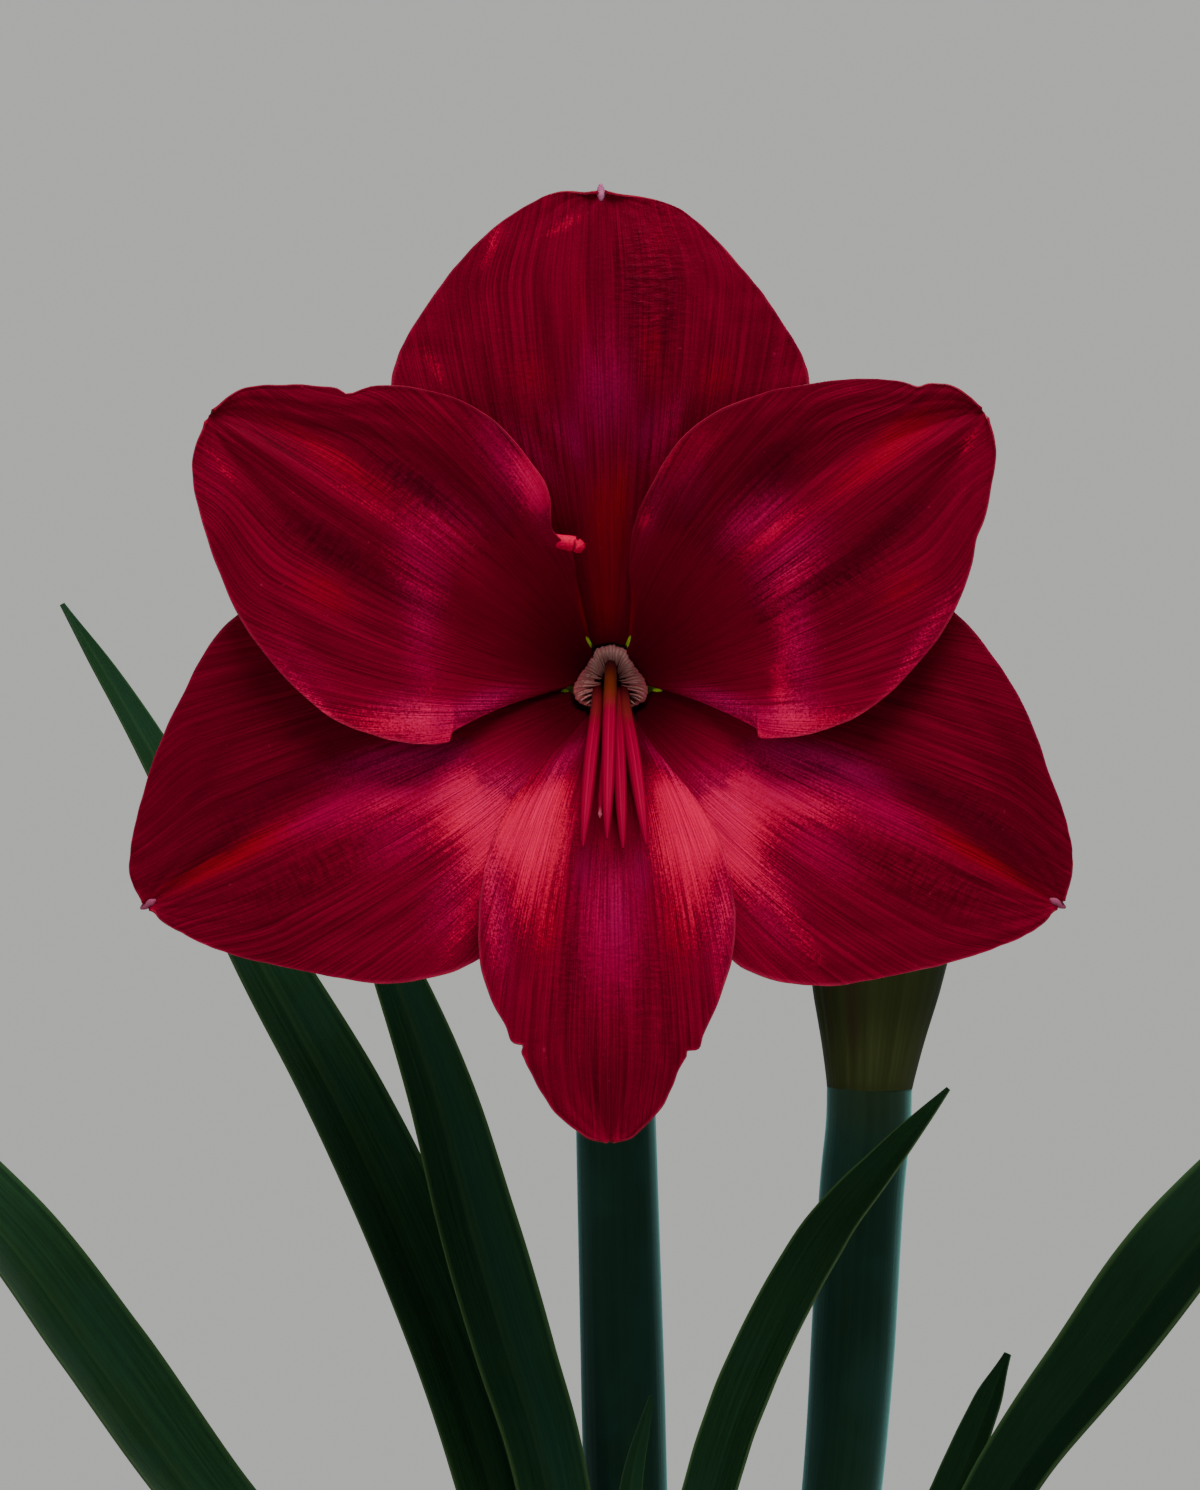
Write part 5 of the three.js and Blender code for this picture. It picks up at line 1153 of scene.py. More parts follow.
# deep darkens a whole leaf as painted shade; edge sets the strength of the margins' painted highlight.
LEAVES = {
    "leaf_1": {
        "thick": 2.4, "chords": [LEFT_BASE, -146],
        "widths": [[0, 17.5], [0.1, 18], [0.45, 23.5], [0.6, 24], [0.72, 21.5], [0.8, 17.4], [0.89, 10.6],
                   [0.96, 5.6], [1, 1.2]],
        "path": [[-16.6, -11, 168], [-17, -11.5, 200], [-27.2, -14, 285], [-49.1, -4, 381.9], [-67.2, 2, 431],
                 [-84.3, 5, 467.2], [-102.7, 8, 499.7], [-131.5, 11, 553.3], [-150.7, 12, 584.3]],
    },
    "leaf_2": {
        "thick": 2.4, "blue": 0.5, "edge": 0.8, "chords": [LEFT_BASE, -152],
        "widths": [[0, 16], [0.3, 17], [0.55, 18.4], [0.7, 20.8], [0.78, 19], [0.86, 15.2], [0.93, 10], [1, 1.2]],
        "path": [[-12.2, -11, 168], [-12.6, -11, 200], [-22, -10, 290], [-36.3, -8, 383.4], [-44, -8, 409.5],
                 [-53, -8, 440.2], [-61.1, -8, 469.5], [-70.6, -8, 495.8], [-86.2, -6, 531.1]],
    },
    "leaf_3": {
        "thick": 2.4, "chords": [LEFT_BASE, -138],
        "widths": [[0, 17], [0.1, 17.5], [0.45, 23], [0.58, 25.4], [0.7, 23], [0.8, 19], [0.9, 12], [0.97, 5.6],
                   [1, 1.2]],
        "path": [[-21, -11, 168], [-21.8, -11, 200], [-46, -12, 280], [-87.5, -12, 344], [-116.5, -10, 377],
                 [-140.6, -10, 410.4], [-164, -10, 441], [-196, -9, 468], [-232, -8, 476], [-262, -7, 462],
                 [-284, -6, 440]],
    },
    "leaf_4": {
        "thick": 2.2, "blue": 0.0, "deep": 0.35, "edge": 0.9, "keel": 0.0, "chords": [RIGHT_BASE, 152],
        "widths": [[0, 14], [0.4, 14], [0.65, 13.6], [0.78, 13.9], [0.86, 12.2], [0.93, 8.3], [1, 1.2]],
        "path": [[2.4, -11, 168], [2.2, -11.5, 200], [-6, -15, 290], [-4.8, -18, 340], [2.9, -20, 381],
                 [12.9, -20, 408.8], [29.2, -20, 438.8], [42, -20, 454.5], [56.9, -20, 471.9]],
    },
    "leaf_5": {
        "thick": 1.8, "chords": [LEFT_BASE, -165],
        "widths": [[0, 8], [0.3, 8], [0.7, 7.6], [0.86, 6.6], [0.95, 3.9], [1, 1]],
        "path": [[-7.6, -11, 168], [-7.8, -11.8, 200], [-11, -18, 280], [-16.4, -19, 335], [-16.6, -18, 378],
                 [-11.6, -16, 400.6]],
    },
    "leaf_6": {
        "thick": 2.4, "blue": 0.9, "deep": 0.85, "keel": 0.03, "chords": [RIGHT_BASE, 138],
        "widths": [[0, 17], [0.3, 17.5], [0.48, 19.5], [0.54, 24], [0.61, 27], [0.72, 25], [0.82, 19.5], [0.9, 13],
                   [0.96, 7], [1, 1.2]],
        "path": [[16.5, -11, 168], [17.4, -11, 200], [39, -16, 280], [55.6, -19, 344], [70, -18, 378.9],
                 [92.4, -16, 408.8], [116.7, -15, 439.6], [150, -11, 469], [190, -10, 485], [226, -9, 478],
                 [256, -8, 455]],
    },
    "leaf_7": {
        "thick": 2, "deep": 0.65, "keel": 0.03, "chords": [RIGHT_BASE, 146],
        "widths": [[0, 11.5], [0.6, 11.5], [0.86, 10.5], [0.95, 7.4], [1, 1.6]],
        "path": [[12, -11, 168], [12.6, -11, 200], [27, -7, 290], [45, -2.5, 345], [59.6, 0, 377.4],
                 [72.2, 0, 408.5]],
    },
}


def leaf_rings(spec, stations, columns):
    """Sections across a rounded path, q from -1 to 1: the middle lies at fold (|q|^1.2 - 0.45) above the chord,
    and the thickness falls from the keel by 1 - 0.55 q^2 on either face. Gives the rings, and each point's
    place across and along."""
    share = np.linspace(0, 1, stations)
    centre, along = path_at(spec["path"], share)
    turn = np.radians(mix(spec["chords"][0], spec["chords"][1], smooth(0.08, 0.5, share)))
    chord = np.stack([np.cos(turn), np.sin(turn), 0 * turn], -1)
    chord = unit(chord - along * np.sum(chord * along, -1, keepdims=True))
    face = np.cross(along, chord)
    width = rounded_at(spec["widths"], share)[:, None]
    thick = (spec["thick"] * mix(1, 0.5, smooth(0.1, 1, share)))[:, None]
    fold = width * mix(0.14, 0.2, smooth(0.1, 0.6, share))[:, None]
    q = np.linspace(-1, 1, columns)
    q = np.sign(q) * np.abs(q) ** 0.9
    both = np.concatenate([q, q[::-1]])[None]
    side = np.concatenate([np.ones(columns), -np.ones(columns)])[None]
    lift = fold * (np.abs(both) ** 1.2 - 0.45 * smooth(0.1, 0.4, share)[:, None])
    lift = lift + side * thick * (1 - 0.55 * both * both) / 2
    sway = 0.22 * wave(share * 22 + 1, int(spec["path"][-1][2]))[:, None] * smooth(0.4, 0.7, share)[:, None]
    edge = (width / 2 + sway * 0.4) * both
    rings = (centre[:, None] + chord[:, None] * edge[..., None]
             + face[:, None] * (lift + sway * both * np.abs(both))[..., None])
    return rings, *np.broadcast_arrays(both, share[:, None])


def strip_uv(across, along, length):
    """Across and along a strap, with its two poles."""
    return np.vstack([np.stack([across * 0.5 + 2, along * length], -1).reshape(-1, 2), [[2, 0], [2, length]]])


def make_leaf(name, spec, material):
    """A strap leaf: sections skinned along its path, with its keel line and margins marked."""
    rings, across, along = leaf_rings(spec, 140, 17)
    points, quads, triangles = tube_parts(rings)
    # The margins' line is a painted highlight; the keel line is the leaf's own.
    line = np.maximum(spec.get("keel", 0.12) * bell(across, 0, 0.05),
                      spec.get("edge", 0.45) * smooth(0.94, 1.0, np.abs(across)))
    blue = spec.get("blue", 0.15) * (0.35 + 0.65 * bell(across, -0.35, 0.3))
    marks = {"line": capped(line), "blue": capped(blue), "deep": np.full(len(points), spec.get("deep", 0.0)),
             "base": capped(0.9 * smooth(0.18, 0.04, along), 1)}
    return piece(f"{name}_skin", points, quads, triangles, strip_uv(across, along, 4), marks, [name], material,
                 crease=60)


def make_valve(side, material):
    """A withered spathe valve: a thin curled bract that hangs back behind the flower, with a wavy edge."""
    foot = np.array([-21.7 + side * 6.9, 11, 540.8])
    path = [[0, 0, 0], [side * 1.6, 1.5, 8], [side * 7, 6, 24], [side * 16, 14, 36], [side * 28, 22, 38]]
    spec = {"thick": 0.9, "chords": [-90 * side, -60 * side], "path": [foot + p for p in path],
            "widths": [[0, 9], [0.25, 11.5], [0.5, 14], [0.75, 10.5], [0.92, 5], [1, 1.2]]}
    rings, across, along = leaf_rings(spec, 70, 15)
    crinkle = 0.5 * wave(along * 30 + side, 3) * across ** 2 + 0.25 * np.cos(across * 16)
    normal = unit(np.cross(np.gradient(rings.mean(1), axis=0), rings[:, 14] - rings[:, 0]))
    rings = rings + normal[:, None] * (crinkle * smooth(0.1, 0.4, along))[..., None]
    points, quads, triangles = tube_parts(rings)
    marks = {"pale": capped(0.5 * smooth(0.8, 1, np.abs(across))), "green": capped(0.6 * smooth(0.25, 0.0, along), 1)}
    name = "spathe_valve_left" if side < 0 else "spathe_valve_right"
    return piece(f"{name}_skin", points, quads, triangles, strip_uv(across, along, 0.8), marks, [name],
                 material, crease=80)


# Bulb, roots, mix and pot.

def around(radius, angle, height):
    """Points at a distance from the upright axis."""
    return np.stack(np.broadcast_arrays(radius * np.cos(angle), radius * np.sin(angle), height), -1)


def turned_parts(profile, count, ripple=None):
    """A body turned about the vertical axis from a profile of [radius, height] that starts and ends on the
    axis. ripple(angle, height) is added to the radius."""
    profile = np.asarray(profile, float)
    angle = np.linspace(0, 2 * np.pi, count, endpoint=False)[None]
    radius, height = profile[1:-1, :1], profile[1:-1, 1:]
    if ripple is not None:
        radius = radius + ripple(angle, height)
    points, quads, triangles = tube_parts(around(radius, angle, height))
    points[-2:, :2] = 0
    points[-2, 2], points[-1, 2] = profile[0, 1], profile[-1, 1]
    return points, quads, triangles


TUNIC_THICKNESS = 0.35


def make_bulb(material):
    """The bulb in its papery tunic: a turned body with upright creases, and loose torn layers round the
    neck, each a thin turned shell with a ragged upper edge."""
    side = rail([[16, 62], [31, 67.5], [45.5, 83], [53.4, 106], [52.2, 130], [43.8, 152], [34.3, 172], [30.8, 186],
                 [30.2, 195.5]], np.linspace(0, 1, 120))
    neck = [[28.4, 197.6], [26.6, 196], [25.6, 193.4], [24.2, 195.4], [22, 196.6], [19.5, 193.8], [17.5, 196],
            [12, 196.4], [6, 195.6], [0, 195.6]]

    def creases(angle, height):
        drift = 0.3 * np.sin(height * 0.05)
        folds = 0.35 * ring_wave(angle + 0.1 * drift, 21, (5, 9, 14, 23)) + 0.12 * ring_wave(angle, 22, (37, 53))
        return folds * smooth(60, 90, height) * smooth(199, 190, height)

    parts = [outward(turned_parts(np.vstack([[[0, 62], [14, 62]], side, neck]), 200, creases))]
    x, y, heights = parts[0][0].T
    radii = np.hypot(x, y)
    pale = [0.75 * smooth(29.5, 27, radii) * (heights > 190)]
    green = [0.8 * smooth(28, 22, radii) * (heights > 190)]
    angle = np.linspace(0, 2 * np.pi, 180, endpoint=False)[None]
    share = np.linspace(0, 1, 40)[:, None]
    for layer, (low, high, out) in enumerate([(118, 170, 0.7), (146, 190, 0.8), (164, 202, 0.6)]):
        tear = bell(np.abs(np.sin((angle - 1.1 - 1.9 * layer) / 2)), 0, 0.16)
        ragged = 5.5 * ring_wave(angle, 31 + layer, (1, 2, 3, 5)) + 1.1 * ring_wave(angle, 41 + layer, (9, 14, 22, 31))
        height = mix(low, high + ragged - 11 * tear, share)
        body = np.interp(height, side[:, 1], side[:, 0])
        flare = 1.5 * share ** 3 * (1 + 0.8 * ring_wave(angle, 51 + layer, (2, 3, 7)))
        radius = body + out * (0.5 + 0.5 * share) + flare + creases(angle, height)
        sheet = np.concatenate([around(radius, angle, height), around(radius - TUNIC_THICKNESS, angle, height)[::-1]])
        parts.append(outward((sheet.reshape(-1, 3), hoop_faces(*sheet.shape[:2]), [])))
        edge = np.broadcast_to(smooth(0.86, 1, share), height.shape)
        pale.append(np.concatenate([edge, edge[::-1]]).ravel() * 0.7)
        green.append(0 * pale[-1])
    points, quads, triangles = join_parts(parts)
    turn = np.arctan2(points[:, 1], points[:, 0])
    uv = np.stack([np.abs(turn) / np.pi * 3, points[:, 2] / 100], -1)
    return piece("bulb_skin_layers", points, quads, triangles, uv,
                 {"pale": np.concatenate(pale), "green": np.concatenate(green)}, ["bulb"], material)


def soil_level(radius):
    """Height of the mix, a little higher round the bulb."""
    return SOIL_LEVEL + 3 * smooth(76, 56, radius)


def make_soil(material, crumbs):
    """Potting mix: a turned body whose top is broken up by two sizes of waves, and crumbs, bark chips and
    white grit strewn over it as small faceted lumps, each a squashed and turned octahedron."""
    foot = POT_FOOT_RADIUS - 7.3
    wall = POT_RIM_RADIUS - 14.5
    rim = [[0, POT_FLOOR + 0.3], [foot - 5, POT_FLOOR + 0.3], [foot, POT_FLOOR + 6], [wall, POT_HEIGHT - 34.5],
           [wall + 2.6, SOIL_LEVEL - 3]]
    across = np.linspace(wall + 2.4, 40, 46)
    profile = np.vstack([rim, np.column_stack([across, soil_level(across)]), [[0, SOIL_LEVEL + 3]]])
    points, quads, triangles = turned_parts(profile, 200)
    top = points[:, 2] > SOIL_LEVEL - 2
    x, y = points[:, 0], points[:, 1]
    bumps = (0.9 * wave(x * 0.31 + wave(y * 0.2, 61), 62) * wave(y * 0.29, 63)
             + 0.5 * wave(x * 0.9, 64) * wave(y * 0.85 + x * 0.3, 65))
    points[:, 2] += np.where(top, bumps, 0)
    draw = np.random.default_rng(7)
    shape = np.array([[1, 0, 0], [-1, 0, 0], [0, 1, 0], [0, -1, 0], [0, 0, 1], [0, 0, -1]], float)
    facets = np.array([[0, 2, 4], [2, 1, 4], [1, 3, 4], [3, 0, 4], [2, 0, 5], [1, 2, 5], [3, 1, 5], [0, 3, 5]])
    radius = np.sqrt(draw.uniform(55 ** 2, 75 ** 2, crumbs))
    turn = draw.uniform(0, 2 * np.pi, crumbs)
    kind = draw.uniform(0, 1, crumbs)
    grit, bark = kind < 0.12, (kind >= 0.12) & (kind < 0.35)
    grit_size, bark_size, size = (draw.uniform(*span, crumbs) for span in ((0.8, 1.9), (1.6, 3.6), (0.5, 1.5)))
    size = np.where(grit, grit_size, np.where(bark, bark_size, size))
    basis = np.linalg.qr(draw.normal(size=(crumbs, 3, 3)))[0]
    basis = basis * np.sign(np.linalg.det(basis))[:, None, None]
    squash = np.stack([np.ones(crumbs), draw.uniform(0.4, 0.9, crumbs), draw.uniform(0.25, 0.8, crumbs)], -1)
    squash[grit] = 0.85
    lumps = np.einsum("nij,nkj->nki", basis, shape[None] * squash[:, None] * size[:, None, None])
    lumps = lumps + around(radius, turn, soil_level(radius) + 0.3)[:, None]
    facets = facets[None] + 6 * np.arange(crumbs)[:, None, None]
    marks = {name: np.concatenate([np.zeros(len(points)), np.repeat(kinds, 6)])
             for name, kinds in (("bark", bark), ("grit", grit))}
    points, quads, triangles = join_parts([(points, quads, triangles), (lumps.reshape(-1, 3), [], facets)])
    return piece("potting_mix_top", points, quads, triangles, np.zeros((len(points), 2)), marks, ["soil"],
                 material, crease=30)


def make_pot(material):
    """Clay pot: a turned wall with rounded edges and a rim band, a little uneven round its rim, and
    drain holes cut through its floor."""
    r, f, top = POT_RIM_RADIUS, POT_FOOT_RADIUS, POT_HEIGHT
    outer = [[f - 3, 0], [f - 0.8, 0.8], [f, 3], [f + 0.55, 6]]
    wall = [[f + (r - 9.5 - f) * t, 6 + (top - 41) * t] for t in np.linspace(0.03, 0.97, 34)]
    band = [[r - 9.4, top - 35], [r - 9, top - 33.4], [r - 6.5, top - 32.6], [r - 4.8, top - 31.8], [r - 4.2, top - 30]]
    rise = [[r - 4.2 + 4.0 * t, top - 30 + 27 * t] for t in np.linspace(0.05, 1, 12)]
    lip = [[r, top - 1.6], [r - 0.4, top - 0.4], [r - 1.5, top], [r - 5.2, top], [r - 6.6, top - 0.6],
           [r - 7.6, top - 2.6]]
    inside = [[r - 8.2, top - 6], [r - 14, top - 34], [f - 6.4, POT_FLOOR + 8], [f - 8, POT_FLOOR + 2.5],
              [f - 12, POT_FLOOR], [0, POT_FLOOR]]
    profile = np.vstack([[[0, 0], [f * 0.5, 0]], outer, wall, band, rise, lip, inside])

    def uneven(angle, height):
        rings = 0.16 * np.sin(height * 1.35 + 2 * np.sin(angle)) + 0.12 * ring_wave(angle, 71, (2, 3, 5))
        return rings * smooth(4, 12, height) * smooth(150.1, 147, height)

    points, quads, triangles = turned_parts(profile, 160, uneven)
    turn = np.arctan2(points[:, 1], points[:, 0])
    uv = np.stack([np.abs(turn) / np.pi * 4, points[:, 2] / 100 + np.hypot(points[:, 0], points[:, 1]) / 300], -1)
    damp = smooth(30, 4, points[:, 2])
    made = piece("pot_body", points, quads, triangles, uv, {"damp": damp}, ["pot"], material, crease=40)
    cut_drain_holes(made)
    return made


def cut_drain_holes(pot):
    """Cuts a ring of round holes through the pot's floor."""
    drill = bmesh.new()
    for k in range(DRAIN_HOLES):
        turn = 2 * math.pi * (k + 0.5) / DRAIN_HOLES
        made = bmesh.ops.create_cone(drill, cap_ends=True, segments=32, radius1=DRAIN_HOLE_RADIUS * MM,
                                     radius2=DRAIN_HOLE_RADIUS * MM, depth=3 * POT_FLOOR * MM)
        spot = Vector((DRAIN_RING_RADIUS * math.cos(turn), DRAIN_RING_RADIUS * math.sin(turn), POT_FLOOR / 2)) * MM
        bmesh.ops.translate(drill, verts=made["verts"], vec=spot)
    mesh = bpy.data.meshes.new("drill")
    drill.to_mesh(mesh)
    drill.free()
    tool = bpy.data.objects.new("drill", mesh)
    bpy.context.scene.collection.objects.link(tool)
    cut = pot.modifiers.new("drain holes", "BOOLEAN")
    cut.object, cut.operation, cut.solver = tool, "DIFFERENCE", "EXACT"
    bpy.context.view_layer.update()
    bored = bpy.data.meshes.new_from_object(pot.evaluated_get(bpy.context.evaluated_depsgraph_get()))
    pot.modifiers.remove(cut)
    pot.data = bored
    bpy.data.objects.remove(tool)
    bpy.data.meshes.remove(mesh)


def dress_roots(material):
    """The roots keep their frame solid and get their skin."""
    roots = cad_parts["roots"]
    roots.data.materials.clear()
    roots.data.materials.append(material)


# What a user would change.

def colour_property(name, description, default):
    return FloatVectorProperty(name=name, description=description, default=default, subtype="COLOR", size=3,
                               min=0, max=1)


class FlowerLook(bpy.types.PropertyGroup):
    crimson: colour_property("Crimson", "Ground colour of the tepals", (0.100, 0.0, 0.008))
    ruby: colour_property("Ruby", "Lighter streaks along the veins", (0.195, 0.0, 0.016))
    # Scarlet is partly the tepals' own red, partly painted highlight on the midribs and painted light on the top
    # tepal's shaded base.
    scarlet: colour_property("Scarlet", "Midribs and red patches", (0.26, 0.0, 0.011))
    magenta: colour_property("Magenta", "Magenta patches outside the throat", (0.29, 0.0, 0.038))
    # Blaze and pink are painted highlights and satin sheen where light falls on the tepals.
    blaze: colour_property("Blaze", "Bright red round the pink places", (0.40, 0.0, 0.026))
    pink: colour_property("Pink", "Brightest places on the tepals", (0.61, 0.0, 0.056))
    # Purple is the tepals' own bloom, and also painted shadow under the edges of the upper tepals.
    purple: colour_property("Purple", "Purple bloom on the tepals", (0.19, 0.001, 0.038))
    # Mauve is painted sheen: the glitter of the frosted cells, also laid over shaded places to lighten them.
    mauve: colour_property("Mauve", "Frosted cells round the throat and along the folds", (0.52, 0.010, 0.094))
    throat: colour_property("Throat", "Dark zone round the throat", (0.175, 0.0, 0.013))
    # Maroon is the veins' own colour, and painted shade in hollows, creases and the innermost throat.
    maroon: colour_property("Maroon", "Veins, hollows and the innermost throat", (0.042, 0.0, 0.004))
    margin: colour_property("Margin", "Thin edge of the tepals", (0.50, 0.035, 0.09))
    horn: colour_property("Horn", "Small horns at the tips", (0.42, 0.14, 0.26))
    reverse: colour_property("Reverse", "Outside of the tepals", (0.20, 0.006, 0.014))
    tube_green: colour_property("Tube green", "Tube between the tepals", (0.45, 0.75, 0.024))
    # Corona and corona shade: painted light on the ribs and the top of the collar, painted shade between the ribs.
    corona: colour_property("Corona", "Ribs of the collar in the throat", (0.88, 0.48, 0.42))
    corona_shade: colour_property("Corona shade", "Between the collar's ribs", (0.21, 0.064, 0.058))
    corona_rose: colour_property("Corona rose", "Foot and lower ends of the collar", (0.34, 0.035, 0.055))
    filament: colour_property("Filament", "Lit side of the filaments", (0.30, 0.0, 0.028))
    filament_dark: colour_property("Filament shade", "Streaks on the filaments", (0.16, 0.0, 0.016))
    stigma: colour_property("Stigma", "Tip of the style", (0.46, 0.07, 0.12))
    rust: colour_property("Rust", "Upper part of the foremost filament", (0.14, 0.022, 0.005))


class PlantLook(bpy.types.PropertyGroup):
    leaf: colour_property("Leaf", "Lighter streaks of the leaves", (0.010, 0.034, 0.011))
    leaf_dark: colour_property("Leaf shade", "Ground colour of the leaves", (0.005, 0.018, 0.006))
    leaf_blue: colour_property("Leaf bloom", "Bluish patches on the leaves", (0.008, 0.030, 0.021))
    # Painted shade that darkens whole leaves.
    leaf_painted_shade: colour_property("Leaf depth", "Darkest green of the leaves", (0.0018, 0.0065, 0.0018))
    # Leaf line: the keel and veins are the leaf's own; along the margins it is a painted highlight.
    leaf_line: colour_property("Leaf line", "Keel, veins and margins of the leaves", (0.05, 0.10, 0.03))
    leaf_base: colour_property("Leaf base", "Where the leaves leave the bulb", (0.20, 0.24, 0.08))
    stem: colour_property("Stem", "Lighter streaks of the stems", (0.0075, 0.021, 0.0105))
    stem_dark: colour_property("Stem shade", "Ground colour of the stems", (0.004, 0.0125, 0.006))
    bloom: colour_property("Bloom", "Waxy bloom on the stems", (0.008, 0.026, 0.019))
    bud: colour_property("Bud", "Lighter places of the bud", (0.036, 0.043, 0.013))
    bud_shade: colour_property("Bud shade", "Ground colour of the bud", (0.022, 0.027, 0.008))
    # Bud depth is painted shade above the bud's foot.
    bud_dark: colour_property("Bud depth", "Darker green above the bud's foot", (0.009, 0.014, 0.004))
    bud_brown: colour_property("Bud stripe", "Brownish stripes on the bud", (0.022, 0.012, 0.007))
    skin: colour_property("Bulb skin", "Papery tunic of the bulb", (0.34, 0.17, 0.075))
    skin_dark: colour_property("Bulb skin shade", "Fibres of the tunic", (0.12, 0.05, 0.022))
    skin_pale: colour_property("Torn edge", "Torn edges of the tunic", (0.55, 0.40, 0.24))
    stain: colour_property("Stain", "Stains on dry skins", (0.09, 0.04, 0.02))
    bract: colour_property("Bract", "Withered spathe valves", (0.42, 0.33, 0.17))
    bract_dark: colour_property("Bract fibre", "Fibres of the spathe valves", (0.20, 0.12, 0.07))
    root: colour_property("Root", "Fleshy roots", (0.62, 0.52, 0.36))
    root_dark: colour_property("Root shade", "Corky patches on the roots", (0.36, 0.27, 0.16))


class PotLook(bpy.types.PropertyGroup):
    clay: colour_property("Clay", "Lighter fired clay", (0.48, 0.19, 0.095))
    clay_dark: colour_property("Clay shade", "Darker fired clay", (0.33, 0.115, 0.055))
    clay_damp: colour_property("Damp clay", "Foot of the pot", (0.16, 0.06, 0.035))
    chalk: colour_property("Chalk", "Lime bloom on the clay", (0.66, 0.56, 0.47))
    soil: colour_property("Mix", "Potting mix", (0.060, 0.034, 0.020))
    soil_dark: colour_property("Mix shade", "Damp potting mix", (0.016, 0.010, 0.007))
    bark: colour_property("Bark", "Bark chips", (0.17, 0.085, 0.040))
    grit: colour_property("Grit", "White grit", (0.62, 0.60, 0.55))
    crumbs: IntProperty(name="Crumbs", description="Lumps strewn over the mix", default=2600, min=0, max=8000)


class StageLook(bpy.types.PropertyGroup):
    floor: colour_property("Floor", "The plain floor", (0.78, 0.77, 0.75))
    backdrop: colour_property("Backdrop", "What lies behind the plant", (0.50, 0.50, 0.49))
    floor_radius: FloatProperty(name="Floor radius", description="Where the floor has faded out", default=1.6, min=0.3,
                                unit="LENGTH")
    key_power: FloatProperty(name="Key light", description="Large light above and in front", default=36.0, min=0,
                             unit="POWER")
    fill_power: FloatProperty(name="Fill light", description="Weak light from the front left", default=9.0, min=0,
                              unit="POWER")
    rim_power: FloatProperty(name="Back light", description="Light from behind", default=14.0, min=0, unit="POWER")
    surround: FloatProperty(name="Surround", description="Brightness of the surround as a light", default=0.22, min=0)
    view_distance: FloatProperty(name="View distance", description="From the camera to the flower's face", default=1.1,
                                 min=0.2, unit="LENGTH")
    view_height: FloatProperty(name="View height", description="Height of the camera", default=EYE_Z * MM,
                               unit="LENGTH")
    frame_height: FloatProperty(name="Frame height", description="Height covered by the picture at the flower's face",
                                default=0.3239, min=0.05, unit="LENGTH")


# Operators.

class AMARYLLIS_OT_tepals(bpy.types.Operator):
    """Build the six tepals"""
    bl_idname = "amaryllis.tepals"
    bl_label = "Tepals"

    def execute(self, context):
        skin = petal_material(context.scene.flower_look)
        for name, spec in TEPALS.items():
            make_tepal(name, spec, skin)
        return {"FINISHED"}


class AMARYLLIS_OT_flower_heart(bpy.types.Operator):
    """Build the collar, filaments and style in the throat"""
    bl_idname = "amaryllis.flower_heart"
    bl_label = "Flower heart"

    def execute(self, context):
        look = context.scene.flower_look
        make_corona(corona_material(look))
        skin = filament_material(look)
        make_stamens(skin)
        make_style(skin)
        return {"FINISHED"}


class AMARYLLIS_OT_stems(bpy.types.Operator):
    """Build both stems, the flower's stalk, the bud and the withered valves"""
    bl_idname = "amaryllis.stems"
    bl_label = "Stems and bud"

    def execute(self, context):
        look = context.scene.plant_look
        skin = stem_material(look, context.scene.flower_look)
        for name, spec in SCAPES.items():
            make_scape(name, spec, skin)
        make_flower_stalk(skin)
        make_bud(bud_material(look))
        bract = papery_material("bract", look, "bract", "bract_dark", 14.0)
        for side in (-1, 1):
            make_valve(side, bract)
        return {"FINISHED"}


class AMARYLLIS_OT_leaves(bpy.types.Operator):
    """Build the seven strap leaves"""
    bl_idname = "amaryllis.leaves"
    bl_label = "Leaves"

    def execute(self, context):
        skin = leaf_material(context.scene.plant_look)
        for name, spec in LEAVES.items():
            make_leaf(name, spec, skin)
        return {"FINISHED"}


class AMARYLLIS_OT_bulb(bpy.types.Operator):
    """Build the bulb in its tunic and dress its roots"""
    bl_idname = "amaryllis.bulb"
    bl_label = "Bulb and roots"

    def execute(self, context):
        look = context.scene.plant_look
        make_bulb(papery_material("bulb_skin", look, "skin", "skin_dark", 9.0))
        dress_roots(root_material(look))
        return {"FINISHED"}


class AMARYLLIS_OT_pot(bpy.types.Operator):
    """Build the clay pot and its potting mix"""
    bl_idname = "amaryllis.pot"
    bl_label = "Pot and mix"

    def execute(self, context):
        look = context.scene.pot_look
        make_pot(clay_material(look))
        make_soil(soil_material(look), look.crumbs)
        return {"FINISHED"}


class AMARYLLIS_OT_stage(bpy.types.Operator):
    """Set the floor, lights and camera"""
    bl_idname = "amaryllis.stage"
    bl_label = "Stage"

    def execute(self, context):
        look = context.scene.stage_look
        make_floor(look)
        make_surround(look)
        make_lights(look)
        make_camera(look)
        return {"FINISHED"}


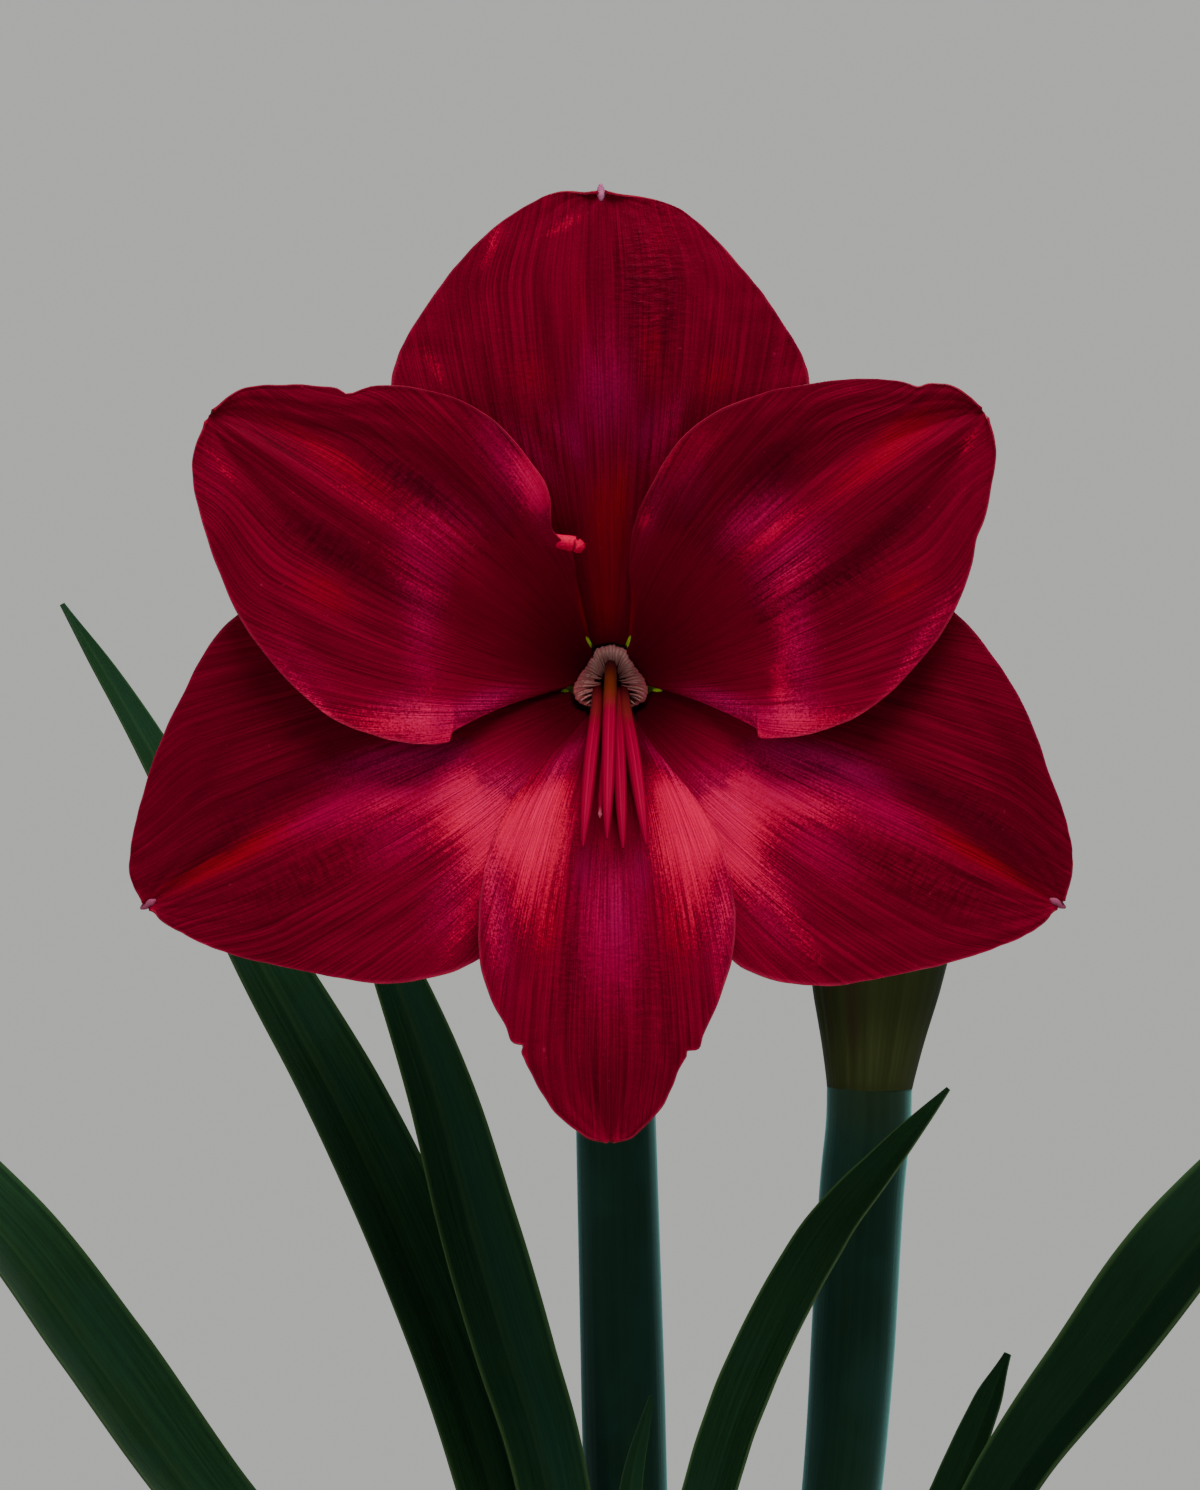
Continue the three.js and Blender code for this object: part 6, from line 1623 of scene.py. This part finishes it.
def make_floor(look):
    """A plain round floor whose surface thins out towards its edge."""
    turn = np.linspace(0, 2 * np.pi, 96, endpoint=False)
    points = np.column_stack([np.cos(turn), np.sin(turn), 0 * turn]) * look.floor_radius
    mesh = bpy.data.meshes.new("floor")
    mesh.from_pydata(points.tolist(), [], [list(range(len(points)))])
    floor = bpy.data.objects.new("floor", mesh)
    bpy.context.scene.collection.objects.link(floor)
    material, tree, shader, _, place = new_material("floor", roughness=0.85, specular=0.1)
    far = add(tree, "ShaderNodeVectorMath", {0: place}, operation="LENGTH").outputs["Value"]
    tone = noise(tree, place, 14.0, 3.0)
    colour = blend(tree, ramp(tree, tone, 0.3, 0.7, 0.0, 0.06), opaque(look.floor), (0.6, 0.6, 0.6, 1))
    feed(tree, shader.inputs["Base Color"], colour)
    feed(tree, shader.inputs["Alpha"], ramp(tree, far, look.floor_radius * 0.45, look.floor_radius * 0.98, 1.0, 0.0))
    mesh.materials.append(material)


def make_surround(look):
    """A plain even surround: pale to the eye, dimmer as a light."""
    world = bpy.context.scene.world or bpy.data.worlds.new("surround")
    bpy.context.scene.world = world
    world.use_nodes = True
    tree = world.node_tree
    tree.nodes.clear()
    seen = add(tree, "ShaderNodeBackground", {"Color": opaque(look.backdrop), "Strength": 1.0})
    lit = add(tree, "ShaderNodeBackground", {"Color": (0.9, 0.95, 1.0, 1), "Strength": look.surround})
    eye = add(tree, "ShaderNodeLightPath").outputs["Is Camera Ray"]
    both = add(tree, "ShaderNodeMixShader", {0: eye, 1: lit.outputs[0], 2: seen.outputs[0]})
    end = add(tree, "ShaderNodeOutputWorld")
    tree.links.new(both.outputs[0], end.inputs["Surface"])


def make_lights(look):
    """Soft lights: a large one above and in front, a weak one at the front left and one behind."""
    target = Vector((-0.02, -0.06, 0.52))
    for name, power, size, place, colour in (
            ("key", look.key_power, 0.9, (0.15, -0.75, 1.75), (1.0, 0.98, 0.96)),
            ("fill", look.fill_power, 1.4, (-1.3, -1.5, 0.9), (0.95, 0.98, 1.0)),
            ("back", look.rim_power, 1.1, (0.5, 1.3, 1.3), (0.96, 0.99, 1.0))):
        light = bpy.data.lights.new(name, "AREA")
        light.energy, light.size, light.color = power, size, colour
        lamp = bpy.data.objects.new(name, light)
        lamp.location = place
        lamp.rotation_euler = (target - Vector(place)).to_track_quat("-Z", "Y").to_euler()
        bpy.context.scene.collection.objects.link(lamp)


def make_camera(look):
    """Level camera in front of the flower: lens = film height times distance over the height covered."""
    data = bpy.data.cameras.new("camera")
    data.sensor_width = 36.0
    data.lens = data.sensor_width * look.view_distance / look.frame_height
    data.clip_start, data.clip_end = 0.05, 50
    camera = bpy.data.objects.new("camera", data)
    camera.location = (EYE_X * MM, FACE_Y * MM - look.view_distance, look.view_height)
    camera.rotation_euler = (math.pi / 2, 0, 0)
    bpy.context.scene.collection.objects.link(camera)
    bpy.context.scene.camera = camera


class AMARYLLIS_PT_sidebar(bpy.types.Panel):
    bl_label = "Potted amaryllis"
    bl_idname = "AMARYLLIS_PT_sidebar"
    bl_space_type = "VIEW_3D"
    bl_region_type = "UI"
    bl_category = "Amaryllis"

    def draw(self, context):
        for operator in OPERATORS:
            self.layout.operator(operator.bl_idname)
        for key, group_type in LOOKS.items():
            box = self.layout.box()
            box.label(text=key.replace("_", " ").capitalize())
            for name in group_type.__annotations__:
                box.prop(getattr(context.scene, key), name)


LOOKS = {"flower_look": FlowerLook, "plant_look": PlantLook, "pot_look": PotLook, "stage_look": StageLook}
OPERATORS = (AMARYLLIS_OT_pot, AMARYLLIS_OT_bulb, AMARYLLIS_OT_leaves, AMARYLLIS_OT_stems, AMARYLLIS_OT_tepals,
             AMARYLLIS_OT_flower_heart, AMARYLLIS_OT_stage)


def register():
    for known in (*LOOKS.values(), *OPERATORS, AMARYLLIS_PT_sidebar):
        bpy.utils.register_class(known)
    for key, group_type in LOOKS.items():
        setattr(bpy.types.Scene, key, PointerProperty(type=group_type))


def unregister():
    for key in LOOKS:
        delattr(bpy.types.Scene, key)
    for known in (AMARYLLIS_PT_sidebar, *reversed(OPERATORS), *reversed(LOOKS.values())):
        bpy.utils.unregister_class(known)


def main():
    """Registers the tools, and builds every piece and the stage."""
    register()
    for operator in OPERATORS:
        family, name = operator.bl_idname.split(".")
        getattr(getattr(bpy.ops, family), name)()


if __name__ == "__main__":
    main()
